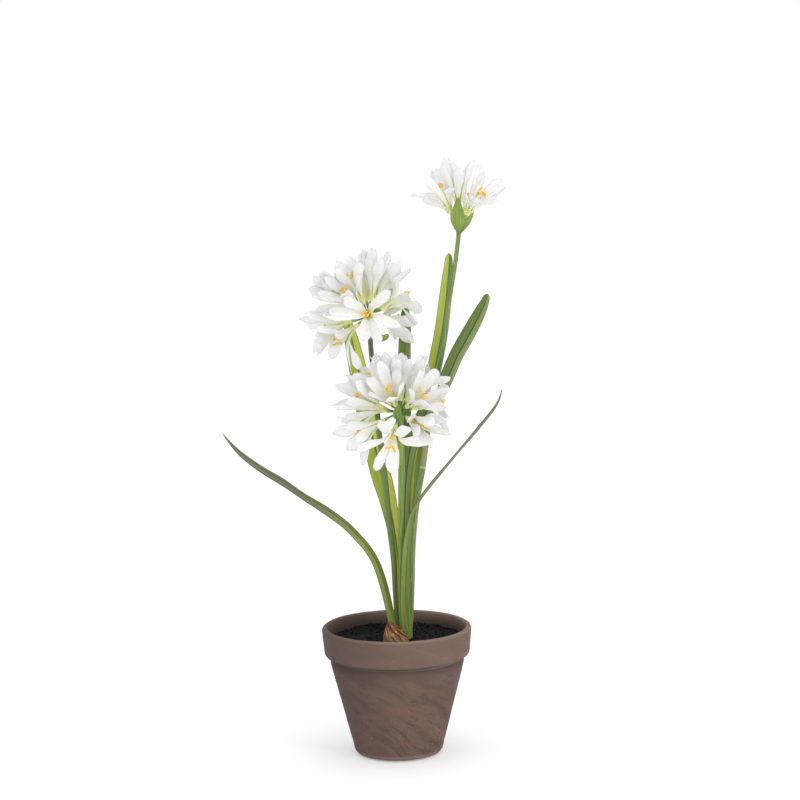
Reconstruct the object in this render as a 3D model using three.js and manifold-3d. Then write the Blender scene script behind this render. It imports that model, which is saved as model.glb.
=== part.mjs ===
// A potted white agapanthus: a clay pot of soil with a bulb, six strap leaves and three flower stems.
// Millimetres, +Z up. The middle of the pot's underside is the origin, and -Y is the front.
import * as THREE from 'three';
import Module from 'manifold-3d';

const wasm = await Module();
wasm.setup();

// ---- driving dimensions ----------------------------------------------------
const POT_HEIGHT = 98.2;
const RIM_RADIUS = 57.5;
const RIM_HEIGHT = 21.7;
const BODY_TOP_RADIUS = 51.8;
const BASE_RADIUS = 34.4;
const LIP_INNER_RADIUS = 53.3;
const FLOOR_THICKNESS = 6;
const WALL_SLOPE = 0.245; // inner radius lost for each millimetre down
const POT_SIDES = 40;

const SOIL_TOP = 88;
const SOIL_RADIUS = 50.4;
const SOIL_SIDES = 24;
const GAP = 0.3; // between parts that touch
const HOLE_ROOM = 0.3; // round each foot that stands in the soil

const FLORET_LENGTH = 40; // from the pedicel to a petal's tip, along the petal
const PETAL_THICKNESS = 0.9;
const TUBE_LENGTH = 8.5;
const STAMEN_REACH = 24.5;
const STAMENS = 5;

// ---- materials -------------------------------------------------------------
const paint = (colour, roughness) => new THREE.MeshStandardMaterial({ color: colour, roughness });
const CLAY = paint(0x7c675b, 0.85);
const SOIL = paint(0x1e1d1c, 1.0);
const BULB = paint(0x95603f, 0.7);
const LEAF = paint(0x74913f, 0.6);
const STEM = paint(0x6c8650, 0.6);
const PETAL = paint(0xf4f3ee, 0.6);

// ---- small tools -----------------------------------------------------------
const rad = THREE.MathUtils.degToRad;
const at = (x, y, z) => new THREE.Vector3(x, y, z);
const UP = at(0, 0, 1);
const FRONT = at(0, -1, 0);

// A repeatable draw between -1 and 1.
function draw(n) {
  const v = Math.sin(n * 12.9898 + 4.1) * 43758.5453;
  return 2 * (v - Math.floor(v)) - 1;
}

function smooth(t) {
  const c = Math.min(Math.max(t, 0), 1);
  return c * c * (3 - 2 * c);
}

// A solid from its corners and triangles, turned so that its faces look out.
function solidOf(points, triangles) {
  let volume = 0;
  for (const [a, b, c] of triangles) {
    volume += points[a].dot(points[b].clone().cross(points[c]));
  }
  const facing = volume < 0 ? triangles.map(([a, b, c]) => [a, c, b]) : triangles;
  const mesh = new wasm.Mesh({
    numProp: 3,
    vertProperties: new Float32Array(points.flatMap((p) => p.toArray())),
    triVerts: new Uint32Array(facing.flat()),
  });
  return new wasm.Manifold(mesh);
}

// A skin over rings of points; a ring of one point closes it to a tip.
// A blade's two faces are split into triangles alike, so that thin faces never cross.
function skin(rings, isBlade = false) {
  const points = rings.flat();
  const first = [];
  let count = 0;
  for (const ring of rings) {
    first.push(count);
    count += ring.length;
  }
  const triangles = [];
  for (let i = 0; i + 1 < rings.length; i++) {
    const low = rings[i].length;
    const high = rings[i + 1].length;
    const sides = Math.max(low, high);
    for (let j = 0; j < sides; j++) {
      const next = (j + 1) % sides;
      const a = first[i] + (j % low);
      const b = first[i] + (next % low);
      const c = first[i + 1] + (next % high);
      const d = first[i + 1] + (j % high);
      if (low === 1) triangles.push([a, c, d]);
      else if (high === 1) triangles.push([a, b, d]);
      else if (isBlade && j >= sides / 2) triangles.push([a, b, d], [b, c, d]);
      else triangles.push([a, b, c], [a, c, d]);
    }
  }
  closeEnd(triangles, first[0], rings[0].length, true);
  closeEnd(triangles, first[rings.length - 1], rings[rings.length - 1].length, false);
  return solidOf(points, triangles);
}

function closeEnd(triangles, start, sides, isFirst) {
  for (let k = 1; k + 1 < sides; k++) {
    const a = start + 1;
    const b = start + ((1 + k) % sides);
    const c = start + ((2 + k) % sides);
    triangles.push(isFirst ? [a, c, b] : [a, b, c]);
  }
}

// Two directions square to a third, the first of them as near to the front as it goes.
function squareTo(along) {
  const ahead = Math.abs(along.y) > 0.95 ? UP : FRONT;
  const face = ahead.clone().projectOnPlane(along).normalize();
  return [face, along.clone().cross(face).normalize()];
}

// A round stalk through rows of [x, y, z, radius].
function stalk(rows, sides) {
  const curve = new THREE.CatmullRomCurve3(rows.map((r) => at(r[0], r[1], r[2])));
  const rings = rows.map(([x, y, z, radius], i) => {
    const [face, side] = squareTo(curve.getTangent(i / (rows.length - 1)));
    return circle(at(x, y, z), side, face, radius, sides);
  });
  return skin(rings);
}

function circle(middle, u, v, radius, sides) {
  const ring = [];
  for (let k = 0; k < sides; k++) {
    const a = (2 * Math.PI * k) / sides;
    const out = u.clone().multiplyScalar(Math.cos(a)).addScaledVector(v, Math.sin(a));
    ring.push(middle.clone().addScaledVector(out, radius));
  }
  return ring;
}

// A creased blade through rows of [x, y, z, width, turn]. A turn of 0 faces the front.
// The crease stands out of the face by its share of the width; a minus share sinks it.
function blade(rows, crease, thickness) {
  const rings = crossings(rows).map(({ middle, side, face, width }) => {
    return width ? creasedRing(middle, side, face, width, crease, thickness) : [middle];
  });
  return skin(rings, true);
}

// Where a blade's rows are, and which way its edge and its face look there.
function crossings(rows) {
  const curve = new THREE.CatmullRomCurve3(rows.map((r) => at(r[0], r[1], r[2])));
  return rows.map(([x, y, z, width, turn], i) => {
    const along = curve.getTangent(i / (rows.length - 1));
    const face = squareTo(along)[0].applyAxisAngle(along, rad(turn));
    const side = along.clone().cross(face).normalize();
    return { middle: at(x, y, z), side, face, width };
  });
}

function creasedRing(middle, side, face, width, crease, thickness) {
  const ridge = middle.clone().addScaledVector(face, crease * width);
  return [
    middle.clone().addScaledVector(side, -width / 2),
    ridge.clone().addScaledVector(face, thickness / 2),
    middle.clone().addScaledVector(side, width / 2),
    ridge.clone().addScaledVector(face, -thickness / 2),
  ];
}

// A turned solid from a profile of [radius, height] that starts and ends on the axis.
function turned(profile, sides) {
  const rings = profile.map(([radius, height]) => {
    const middle = at(0, 0, height);
    return radius === 0 ? [middle] : circle(middle, at(1, 0, 0), at(0, 1, 0), radius, sides);
  });
  return skin(rings);
}

// ---- pot -------------------------------------------------------------------
function makePot() {
  const rimFoot = POT_HEIGHT - RIM_HEIGHT;
  const floorRadius = innerRadius(FLOOR_THICKNESS);
  return turned(
    [
      [0, 0],
      [BASE_RADIUS - 5, 0],
      [BASE_RADIUS - 1.6, 1.4],
      [BASE_RADIUS, 5.4],
      [BODY_TOP_RADIUS, rimFoot],
      [RIM_RADIUS - 2.8, rimFoot],
      [RIM_RADIUS - 1.4, rimFoot + 1.4],
      [RIM_RADIUS, POT_HEIGHT - 3],
      [RIM_RADIUS - 0.7, POT_HEIGHT - 0.9],
      [RIM_RADIUS - 2.4, POT_HEIGHT],
      [LIP_INNER_RADIUS + 0.9, POT_HEIGHT],
      [LIP_INNER_RADIUS, POT_HEIGHT - 1],
      [floorRadius, FLOOR_THICKNESS],
      [0, FLOOR_THICKNESS],
    ],
    POT_SIDES,
  );
}

function innerRadius(height) {
  return LIP_INNER_RADIUS - WALL_SLOPE * (POT_HEIGHT - 1 - height);
}

// ---- soil: a plug that fills the pot, crumbled on top ------------------------
function makeSoil(holes) {
  const bottom = FLOOR_THICKNESS + GAP;
  const rings = [
    [at(0, 0, bottom)],
    circle(at(0, 0, bottom), at(1, 0, 0), at(0, 1, 0), innerRadius(bottom) - GAP, SOIL_SIDES),
  ];
  const shares = [1, 0.85, 0.69, 0.52, 0.34, 0.17];
  shares.forEach((share, row) => rings.push(crumbRing(share, row)));
  rings.push([at(0, 0, SOIL_TOP)]);
  return skin(rings).subtract(holes);
}

function crumbRing(share, row) {
  const flat = circle(at(0, 0, SOIL_TOP), at(1, 0, 0), at(0, 1, 0), SOIL_RADIUS * share, SOIL_SIDES);
  const height = row === 0 ? 0.5 : 1.3;
  return flat.map((p, k) => p.setZ(SOIL_TOP + height * draw(97 * row + k)));
}

// ---- bulb ------------------------------------------------------------------
// Rows of [x, y, z, half width]: the papery tip leans to the left.
const BULB_ROWS = [
  [-0.2, -12.2, 80, 5],
  [-0.3, -12.2, 83.5, 7.8],
  [-0.5, -12.2, 88, 8.8],
  [-1.2, -12.1, 92.5, 8.3],
  [-2.4, -12, 97, 6.2],
  [-3.8, -12, 100.6, 3.7],
  [-4.9, -12, 103, 1.8],
];
const BULB_TIP = at(-5.4, -12, 104.4);
const BULB_RIBS = 7;

function makeBulb(grow = 0) {
  const rings = BULB_ROWS.map(([x, y, z, radius], row) => {
    const ring = [];
    for (let k = 0; k < 2 * BULB_RIBS; k++) {
      const a = (Math.PI * k) / BULB_RIBS + 0.12 * row;
      const rib = radius * (k % 2 ? 0.93 : 1.02) + 1.2 * grow;
      ring.push(at(x + rib * Math.cos(a), y + 0.84 * rib * Math.sin(a), row === 0 ? z - grow : z));
    }
    return ring;
  });
  return skin([...rings, [BULB_TIP]]);
}

// ---- leaves ----------------------------------------------------------------
// Rows of [x, y, z, width, turn] from the soil to the tip.
const LEAVES = {
  leaf_left_trailing: {
    crease: 0.16,
    rows: [
      [-2.4, 0.6, 72, 5.2, 12],
      [-3.4, 0.2, 98, 5.8, 14],
      [-4.8, -0.2, 108, 6.2, 16],
      [-6.8, -0.7, 118.5, 6.4, 18],
      [-9.6, -1.3, 131, 6.6, 20],
      [-14.4, -2.4, 146.6, 6.2, 24],
      [-21.2, -3.8, 159.2, 6.2, 28],
      [-28.8, -5.5, 168.8, 6.8, 34],
      [-37.4, -7.5, 178.4, 7.4, 42],
      [-51, -10, 189.6, 7.4, 48],
      [-67.8, -13, 201.2, 7.2, 56],
      [-84.4, -16, 214, 7.2, 50],
      [-100.4, -19, 224.8, 6, 54],
      [-116, -22, 237.9, 4.4, 50],
      [-127.7, -25, 253, 0, 50],
    ],
  },
  leaf_right_front: {
    crease: 0.1,
    rows: [
      [8.3, -4, 72, 7, 0],
      [8.2, -4.2, 92.2, 7.6, 0],
      [7.3, -5, 103.3, 7.8, 0],
      [6.9, -6.4, 119.2, 7.8, 0],
      [7.4, -7.4, 134.9, 7.4, 8],
      [8.3, -9, 154.6, 7, 26],
      [9.4, -10.4, 167, 7, 44],
      [12.6, -12, 185.1, 7.2, 60],
      [19.5, -13, 198.2, 7.6, 70],
      [32.9, -15, 215.4, 7.8, 72],
      [48.3, -17.5, 234.2, 7.4, 72],
      [63.5, -20, 251.6, 6.6, 70],
      [78.4, -23.3, 271.6, 4.6, 66],
      [82.2, -24.5, 282, 0, 60],
    ],
  },
  leaf_back_right: {
    crease: 0.12,
    rows: [
      [9.6, 9.6, 72, 4.8, 0],
      [9.4, 10, 92, 5.2, 0],
      [10, 12, 116, 5.6, 0],
      [11, 14.2, 147.4, 6.6, 0],
      [13.6, 15.2, 186.4, 8.8, 0],
      [18.9, 15.4, 232.8, 10.6, 0],
      [27.2, 14.8, 271.1, 11, 4],
      [34, 14, 301.6, 11, 6],
      [38.4, 13, 324.2, 10.6, 8],
      [42.2, 12, 353, 9.2, 8],
      [44.4, 11.4, 374, 6.4, 8],
      [45, 11, 382, 0, 8],
    ],
  },
  leaf_right_arching: {
    crease: 0.17,
    rows: [
      [6.9, 4.9, 72, 4.6, 0],
      [6.9, 4.9, 94, 5.2, 0],
      [6.6, 4.9, 118, 6, 0],
      [7, 5, 165, 7, 0],
      [8.6, 4.4, 206, 8.6, 4],
      [13.8, 1.6, 240, 10.4, 8],
      [22.8, -2, 259.8, 11.2, 14],
      [32, -4, 273, 11.6, 18],
      [40.3, -4.4, 287.4, 11.6, 18],
      [48.6, -4, 305.2, 11.4, 16],
      [58.4, -3, 322.2, 11, 12],
      [66.2, -1.6, 336, 9.6, 10],
      [71.2, -0.8, 346, 6.4, 10],
      [73.2, -0.2, 351.4, 0, 10],
    ],
  },
  leaf_upright: {
    crease: 0.12,
    rows: [
      [6, 8.2, 72, 6, 0],
      [5.8, 8.4, 92, 7, 0],
      [6.1, 9, 115.8, 7.8, 0],
      [6.8, 9.6, 147.2, 8.6, 0],
      [7.9, 10.6, 194, 9.2, 0],
      [8.7, 12, 233, 9.6, 0],
      [9.4, 13.6, 275, 9.8, 0],
      [10, 15, 309.8, 9.4, 0],
      [10.8, 16, 326, 8.8, 0],
      [11.2, 16.6, 338, 6, 0],
      [11.2, 17, 343, 0, 0],
    ],
  },
  leaf_left_upright: {
    crease: -0.2,
    rows: [
      [4, 11.6, 72, 5.4, 0],
      [4, 12, 92, 6.4, 0],
      [3.4, 13, 115.3, 7, 0],
      [2.2, 14, 139, 7.6, 0],
      [0.2, 15, 162.8, 9.4, 0],
      [-5.2, 16.2, 194.1, 13.4, 0],
      [-9.5, 17, 211, 15.4, 0],
      [-13.4, 17.6, 228.6, 15.8, 0],
      [-17.8, 18, 248.8, 15.4, 0],
      [-22.1, 18.6, 272, 14.6, 0],
      [-26.2, 19.4, 295.3, 13.4, 0],
      [-29.2, 20.2, 310.6, 12, 0],
      [-31.6, 20.8, 323.6, 8.4, 0],
      [-32.6, 21.2, 331, 0, 0],
    ],
  },
};
const LEAF_THICKNESS = 1.1;

// ---- flower stems ----------------------------------------------------------
// Rows of [x, y, z, radius]; the last row is where the florets' pedicels part.
// A floret is [name, bearing, forward, pedicel, roll, opening]: its bearing is seen from the
// front, 0 to the right and 90 up, and forward lifts it out of that plane to the front.
// Swing and lean move single petals round the axis and away from it, in degrees.
const HEADS = {
  top: {
    stem: [
      [9.6, 1.2, 72, 2.4],
      [9.7, 1.2, 92, 2.4],
      [10.5, 1.4, 103, 2.4],
      [12.1, 1.8, 133, 2.4],
      [13.6, 2.1, 164, 2.4],
      [17.3, 2.4, 195, 2.4],
      [22.6, 2.8, 223.4, 2.5],
      [27.1, 3.1, 252.3, 2.3],
      [33.4, 3.5, 286.6, 2.1],
      [39.8, 3.9, 317, 2],
      [44.4, 4.2, 347.1, 1.8],
      [49.7, 4.7, 377.1, 1.7],
      [52.2, 5, 396, 1.7],
      [52.6, 5, 401, 2.6],
    ],
    bracts: [
      {
        crease: 0.42,
        rows: [
          [52.3, 4.6, 396, 2.4, 0],
          [51.9, 2.2, 400.4, 4.6, 0],
          [51.6, -1.2, 405, 9.4, 0],
          [51.4, -3.4, 409.5, 10.8, 0],
          [51.7, -4.6, 416.4, 7.4, 0],
          [51.9, -4.6, 421, 4, 0],
          [52, -4.4, 424, 0, 0],
        ],
      },
      {
        crease: 0.4,
        rows: [
          [52.6, 4.9, 396.8, 2.4, 60],
          [55.4, 4.2, 402.2, 6.6, 60],
          [58.2, 3.2, 406.4, 7.8, 55],
          [60.4, 2.4, 410.4, 6.8, 50],
          [62.4, 1.8, 413.8, 3.6, 50],
          [64.1, 1.6, 416.8, 0, 50],
        ],
      },
    ],
    florets: [
      ['centre', 92, 10, 14, 39, 24, { swing: [0, 11, 0, 0, -5, 0], lean: [0, 5, -14, 0, 8, -3] }],
      ['left', 115, 8, 12, 22, 45, { swing: [0, 0, 0, 14, -12, 0], lean: [-9, -4, 24, 13, -9, 0] }],
      ['right', 58, 30, 12.7, 1, 39, { swing: [-8, 0, -6, -8, 12, -12], lean: [-16, 10, 0, -30, 10, -3] }],
      ['back_left', 116, -42, 12, 10, 34, { swing: [6, 5, 7, -6, 16, -5], lean: [-1, 8, -1, 0, -1, -4] }],
      ['back_right', 66, -40, 12, 40, 36],
    ],
  },
  left: {
    stem: [
      [1.2, 4.2, 72, 2.1],
      [1.4, 4.1, 92, 2.1],
      [0.6, 3.8, 103, 2.1],
      [-0.3, 3, 117.3, 2.1],
      [-1.5, 1.6, 148.8, 2.1],
      [-4.5, 0.1, 180.2, 2.3],
      [-6.9, -1.4, 211.3, 2.4],
      [-10, -3.1, 242.3, 2.2],
      [-12.2, -5.1, 273.2, 2],
      [-15.3, -8.2, 311.5, 1.9],
      [-16, -11, 330, 1.9],
      [-16.2, -12, 337.4, 2.8],
    ],
    bracts: [
      {
        crease: 0.35,
        rows: [
          [-15.6, -12.2, 333.5, 2.4, 0],
          [-13.4, -14.8, 327.2, 5, 0],
          [-9.6, -16.4, 321.8, 6.4, 0],
          [-5.4, -17, 321.2, 4.6, 0],
          [-1.6, -17.2, 323.6, 0, 0],
        ],
      },
    ],
    florets: [
      ['face', 110, 82, 11, 0, 53, { swing: [-26, -19, 21, -8, 25, 8], lean: [13, 2, -11, 20, -10, -13] }],
      ['top', 82, 5, 11, 0, 19, { swing: [4, -9, -2, 0, 14, -17], lean: [-3, 6, -6, -3, 12, 0] }],
      ['top_left', 113, 9, 9.5, 5, 36, { swing: [0, 14, -13, 0, 0, 0], lean: [0, 7, -7, 0, 0, 0] }],
      ['upper_left', 130, 40, 11.7, 48, 26],
      ['left', 142, 23, 12.2, 40, 22, { swing: [-7, 4, 0, 1, 4, 2], lean: [-4, -8, -5, -6, -4, 5] }],
      ['lower_left', 195, 12, 13.3, 33, 36, { swing: [0, -7, -3, 15, 0, 5], lean: [-11, 5, 6, -3, 0, 6] }],
      ['low', 216, 25, 10.6, 32, 52, { swing: [-14, 18, 0, 0, -22, 0], lean: [-14, -10, 10, 12, 18, 0] }],
      ['top_right', 64, -16, 9.1, 20, 30],
      ['right', 27, -9, 9.5, 15, 72, { swing: [21, 0, 0, 3, 21, -21], lean: [9, 0, 0, -6, 3, -5] }],
      ['lower_right', -14, -52, 8.5, 16, 34, { swing: [9, -6, 0, 0, 0, 24], lean: [9, -9, 0, 0, 0, -24] }],
      ['back_left', 150, -45, 11, 12, 40],
      ['back_right', 40, -50, 11, 30, 40, { swing: [0, 7, -3, 4, 0, 22], lean: [-4, -5, 4, -5, -3, 2] }],
      ['behind_top', 98, -30, 11, 20, 36],
    ],
  },
  front: {
    stem: [
      [4.8, -0.8, 72, 2.4],
      [4.6, -0.9, 92, 2.4],
      [4.2, -1.2, 103, 2.4],
      [3.2, -2.2, 130, 2.4],
      [4, -4.6, 152, 2.4],
      [4.8, -10, 180, 2.4],
      [5.5, -19, 208, 2.4],
      [5.9, -28.5, 231, 2.4],
      [5.6, -38.5, 255, 2.4],
      [4.9, -45, 268, 3],
    ],
    bracts: [
      {
        crease: 0.35,
        rows: [
          [5.2, -41.5, 260, 2.6, 0],
          [4.6, -44, 251, 5.6, 0],
          [4.2, -43, 243, 6.2, 0],
          [4.4, -40, 236, 5.6, 0],
          [4.4, -37, 230, 3.4, 0],
          [4.4, -36, 227.4, 0, 0],
        ],
      },
      {
        crease: 0.32,
        rows: [
          [5.2, -43, 264, 2.6, 0],
          [3.6, -49, 266.5, 6.8, 0],
          [4, -51.4, 271, 5, 0],
          [4.4, -52, 275.8, 0, 0],
        ],
      },
    ],
    florets: [
      ['face', 252, 49, 12, 31, 70, { swing: [4, -11, 5, 9, -21, 13], lean: [9, 2, -16, -8, -10, 24] }],
      ['top', 88, 0, 8.8, 6, 44, { swing: [0, 17, -23, 0, 20, -14], lean: [0, 1, 6, 0, 2, 2] }],
      ['upper', 110, 50, 10, 36, 26],
      ['top_left', 104, -36, 9, 51, 24, { swing: [1, -6, 4, 2, 6, -3], lean: [-5, -6, -4, -6, 12, 3] }],
      ['upper_left', 124, -2, 11.3, 49, 40, { swing: [6, 14, -12, 5, 0, 3], lean: [-4, 8, 10, 4, 2, 5] }],
      ['left', 155, 26, 14, 33, 24, { swing: [0, 0, 3, 7, -11, 0], lean: [0, -8, 10, -3, -5, 10] }],
      ['behind_left', 138, -48, 10, 31, 36],
      ['lower_left', 202, 25, 12.2, 44, 36, { swing: [-15, 6, -21, 15, 15, -7], lean: [-3, 1, 22, 9, 6, -4] }],
      ['lower_right', -21, 58, 11, 57, 30, { swing: [14, 11, 3, -28, 0, 19], lean: [-4, -24, 15, -11, 0, 3] }],
      ['right', 16, -8, 9, 12, 54, { swing: [9, 0, 3, -6, 0, -18], lean: [21, 0, 3, 21, 0, 24] }],
      ['top_right', 58, 0, 9.5, 50, 36, { swing: [12, 0, 0, 6, 0, -20], lean: [15, 0, 0, -3, 0, 6] }],
      ['upper_right', 42, 45, 10, 30, 30],
      ['back_right', 52, -62, 11, 20, 34],
      ['back_left', 175, -42, 11, 10, 36],
    ],
  },
};
const PEDICEL_RADIUS = 1;
const PEDICEL_SIDES = 4;
const STEM_SIDES = 7;

function direction(bearing, forward) {
  const b = rad(bearing);
  const f = rad(forward);
  return at(Math.cos(f) * Math.cos(b), -Math.sin(f), Math.cos(f) * Math.sin(b));
}

// A floret's place: where its tube starts, and the turn from straight up to its own axis.
function placeFloret(head, row, number) {
  const [name, bearing, forward, pedicel, roll, opening, bends = {}] = row;
  const stem = HEADS[head].stem;
  const parting = stem[stem.length - 1];
  const axis = direction(bearing, forward);
  const base = at(parting[0], parting[1], parting[2]).addScaledVector(axis, pedicel);
  const turn = new THREE.Quaternion().setFromUnitVectors(UP, axis);
  const swing = bends.swing ?? Array.from({ length: 6 }, (_, k) => 7 * draw(31 * number + k));
  const lean = bends.lean ?? Array.from({ length: 6 }, (_, k) => 8 * draw(57 * number + k));
  return { name: `floret_${head}_${name}`, number, axis, base, turn, roll, opening, swing, lean };
}

// A point of a floret, given across, round and along its own axis.
function inFloret(place, radius, round, along) {
  const local = at(radius * Math.cos(rad(round)), radius * Math.sin(rad(round)), along);
  return local.applyQuaternion(place.turn).add(place.base);
}

// ---- petals ------------------------------------------------------------------
// Rows of [share of the length, width]: the first is where a petal leaves the tube's rim.
const PETAL_ROWS = [
  [0.25, 2.4],
  [0.4, 4.9],
  [0.62, 8],
  [0.82, 8.6],
  [0.95, 5.6],
  [1, 0],
];
const PETAL_STEPS = 40;
const TUBE_SLOPE = 14; // degrees from the axis
const WHORL_OFFSET = 0.3; // every other petal stands outside its neighbours

// How far across and along a petal's middle line is, and its slope, at a share of its length.
function petalLine(opening, length, share) {
  let across = 0.6;
  let along = 0;
  let slope = 0;
  const steps = Math.round(PETAL_STEPS * share);
  for (let i = 0; i < steps; i++) {
    const turn = smooth(((i + 0.5) / PETAL_STEPS - 0.2) / 0.4);
    slope = rad(TUBE_SLOPE + (opening - TUBE_SLOPE) * turn);
    across += (Math.sin(slope) * length) / PETAL_STEPS;
    along += (Math.cos(slope) * length) / PETAL_STEPS;
  }
  return { across, along, slope };
}

// A petal's rings from the rim to the tip: left edge, inner ridge, right edge, outer ridge.
function petalRings(place, k, bend, grow) {
  const opening = place.opening + place.lean[k] + bend.away;
  const whorl = k % 2 ? WHORL_OFFSET : -WHORL_OFFSET;
  return PETAL_ROWS.map(([share, width]) => {
    const swing = (place.swing[k] + bend.round) * smooth(share / 0.8);
    const round = place.roll + 60 * k + swing;
    const line = petalLine(opening, FLORET_LENGTH * bend.length + grow, share);
    const middle = inFloret(place, line.across + whorl, round, line.along);
    if (width === 0) return [middle];
    const outward = inFloret(place, 1, round, 0).sub(place.base);
    const side = place.axis.clone().cross(outward);
    const inward = outward.clone().multiplyScalar(-Math.cos(line.slope));
    inward.addScaledVector(place.axis, Math.sin(line.slope));
    const wide = width * bend.length ** 0.5 + 2 * grow;
    return creasedRing(middle, side, inward, wide, -0.1, PETAL_THICKNESS + 2 * grow);
  });
}

// ---- flower: one skin over the tube, its throat and the petals -----------------
const FOOT_RADIUS = 1.2;
const RIM_HALF_ANGLE = 22; // of the 30 degrees that each petal has on either side
const FLOWER_RIM_OUTER = 3;
const FLOWER_RIM_INNER = 2.05;
const THROAT_DEPTH = 2;

function flower(place, bends) {
  const points = [];
  const triangles = [];
  const add = (point) => points.push(point) - 1;
  const rimPoint = (radius, k, side) => {
    return add(inFloret(place, radius, place.roll + 60 * k + side * RIM_HALF_ANGLE, TUBE_LENGTH));
  };
  const throat = add(inFloret(place, 0, 0, TUBE_LENGTH - THROAT_DEPTH));
  const corners = bends.map((_, k) => ({
    foot: add(inFloret(place, FOOT_RADIUS, place.roll + 60 * k, GAP)),
    outLeft: rimPoint(FLOWER_RIM_OUTER, k, -1),
    outRight: rimPoint(FLOWER_RIM_OUTER, k, 1),
    inLeft: rimPoint(FLOWER_RIM_INNER, k, -1),
    inRight: rimPoint(FLOWER_RIM_INNER, k, 1),
  }));
  corners.forEach((c, k) => {
    const n = corners[(k + 1) % corners.length];
    triangles.push([c.foot, c.outRight, c.outLeft]);
    triangles.push([c.foot, n.foot, n.outLeft], [c.foot, n.outLeft, c.outRight]);
    triangles.push([c.outRight, n.outLeft, n.inLeft], [c.outRight, n.inLeft, c.inRight]);
    triangles.push([c.inLeft, c.inRight, throat], [c.inRight, n.inLeft, throat]);
    if (k > 1) triangles.push([corners[0].foot, c.foot, corners[k - 1].foot]);
    if (bends[k]) {
      const rings = petalRings(place, k, bends[k], 0).slice(1);
      addPetal(triangles, c, rings.map((ring) => ring.map(add)));
    } else {
      triangles.push([c.outLeft, c.outRight, c.inRight], [c.outLeft, c.inRight, c.inLeft]);
    }
  });
  return solidOf(points, triangles);
}

function addPetal(triangles, rim, rings) {
  const [left, inner, right, outer] = rings[0];
  triangles.push([rim.outLeft, rim.outRight, outer], [rim.outLeft, outer, left]);
  triangles.push([rim.outRight, right, outer], [rim.inLeft, inner, rim.inRight]);
  triangles.push([rim.inLeft, left, inner], [rim.inRight, inner, right]);
  triangles.push([rim.inLeft, rim.outLeft, left], [rim.outRight, rim.inRight, right]);
  for (let i = 0; i + 2 < rings.length; i++) {
    const [l, n, r, o] = rings[i];
    const [l2, n2, r2, o2] = rings[i + 1];
    triangles.push([l, o, o2], [l, o2, l2], [o, r, r2], [o, r2, o2]);
    triangles.push([l, n2, n], [l, l2, n2], [n, r2, r], [n, n2, r2]);
  }
  const [l, n, r, o] = rings[rings.length - 2];
  const [tip] = rings[rings.length - 1];
  triangles.push([l, o, tip], [o, r, tip], [l, tip, n], [n, tip, r]);
}

// ---- stamens -------------------------------------------------------------------
function stamen(place, k, grow) {
  const seed = 13 * place.number + k;
  const round = place.roll + 30 + (360 / STAMENS) * k + 14 * draw(seed);
  const spread = 3 + draw(seed + 500);
  const reach = STAMEN_REACH + 2 * draw(seed + 900);
  const thin = 0.42 + grow;
  const rows = [
    [1, TUBE_LENGTH - THROAT_DEPTH - 0.8, thin],
    [spread, reach - 3, thin],
    [spread + 0.5, reach - 1.4, 0.95 + grow],
  ];
  const rings = rows.map(([across, along, radius]) => {
    const middle = inFloret(place, across, round, along);
    const u = inFloret(place, across + 1, round, along).sub(middle);
    return circle(middle, u, place.axis.clone().cross(u), radius, 3);
  });
  return skin([...rings, [inFloret(place, spread + 0.9, round, reach + 0.6 + grow)]]);
}

// ---- keeping clear -----------------------------------------------------------
function boxesMeet(a, b) {
  for (let i = 0; i < 3; i++) {
    if (a.min[i] > b.max[i] || b.min[i] > a.max[i]) return false;
  }
  return true;
}

function isClear(solid, others) {
  const box = solid.boundingBox();
  return others.every(
    (other) => !boxesMeet(box, other.box) || solid.intersect(other.solid).volume() < 1e-6,
  );
}

const boxed = (owner, solid) => ({ owner, solid, box: solid.boundingBox() });

// The bends tried, in turn, until a petal has room: round the axis, away from it, and length.
const DIRECTIONS = [[1, 0], [-1, 0], [0, -1], [0, 1], [1, -1], [-1, -1], [1, 1], [-1, 1]];
const BENDS = [1, 0.85, 0.7, 0.58].flatMap((length) => [
  { round: 0, away: 0, length },
  ...[7, 14, 21, 28].flatMap((step) =>
    DIRECTIONS.map(([round, away]) => ({ round: step * round, away: step * away, length })),
  ),
]);
const ROOM = 0.35; // to other flowers, stems and leaves
const PETAL_ROOM = 0.04; // to the same flower's petals

// The first bend that leaves a petal clear of all that has its place already.
function roomFor(place, k, others, ownPetals) {
  return BENDS.find((bend) => {
    const own = skin(petalRings(place, k, bend, PETAL_ROOM), true);
    if (!isClear(own, ownPetals)) return false;
    return isClear(skin(petalRings(place, k, bend, ROOM), true), others);
  });
}

// ---- assembly ----------------------------------------------------------------
function makeStem(head) {
  const { stem, bracts, florets } = HEADS[head];
  const parting = stem[stem.length - 1];
  let solid = stalk(stem, STEM_SIDES);
  for (const bract of bracts) solid = solid.add(blade(bract.rows, bract.crease, 1));
  florets.forEach((row) => {
    const axis = direction(row[1], row[2]);
    const end = at(parting[0], parting[1], parting[2]).addScaledVector(axis, row[3]);
    const start = at(parting[0], parting[1], parting[2]);
    const rows = [[...start.toArray(), PEDICEL_RADIUS], [...end.toArray(), PEDICEL_RADIUS]];
    solid = solid.add(stalk(rows, PEDICEL_SIDES));
  });
  return solid;
}

const group = new THREE.Group();

function addPart(name, solid, material) {
  const mesh = solid.getMesh();
  const geometry = new THREE.BufferGeometry();
  geometry.setAttribute('position', new THREE.BufferAttribute(mesh.vertProperties, 3));
  geometry.setIndex(new THREE.BufferAttribute(mesh.triVerts, 1));
  const part = new THREE.Mesh(geometry, material);
  part.name = name;
  group.add(part);
}

// Plain holes in the soil, a little larger than what stands in them.
function stemHole({ stem }) {
  return stalk(stem.map(([x, y, z, radius], row) => [x, y, deeper(z, row), radius + HOLE_ROOM]), STEM_SIDES);
}

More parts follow.
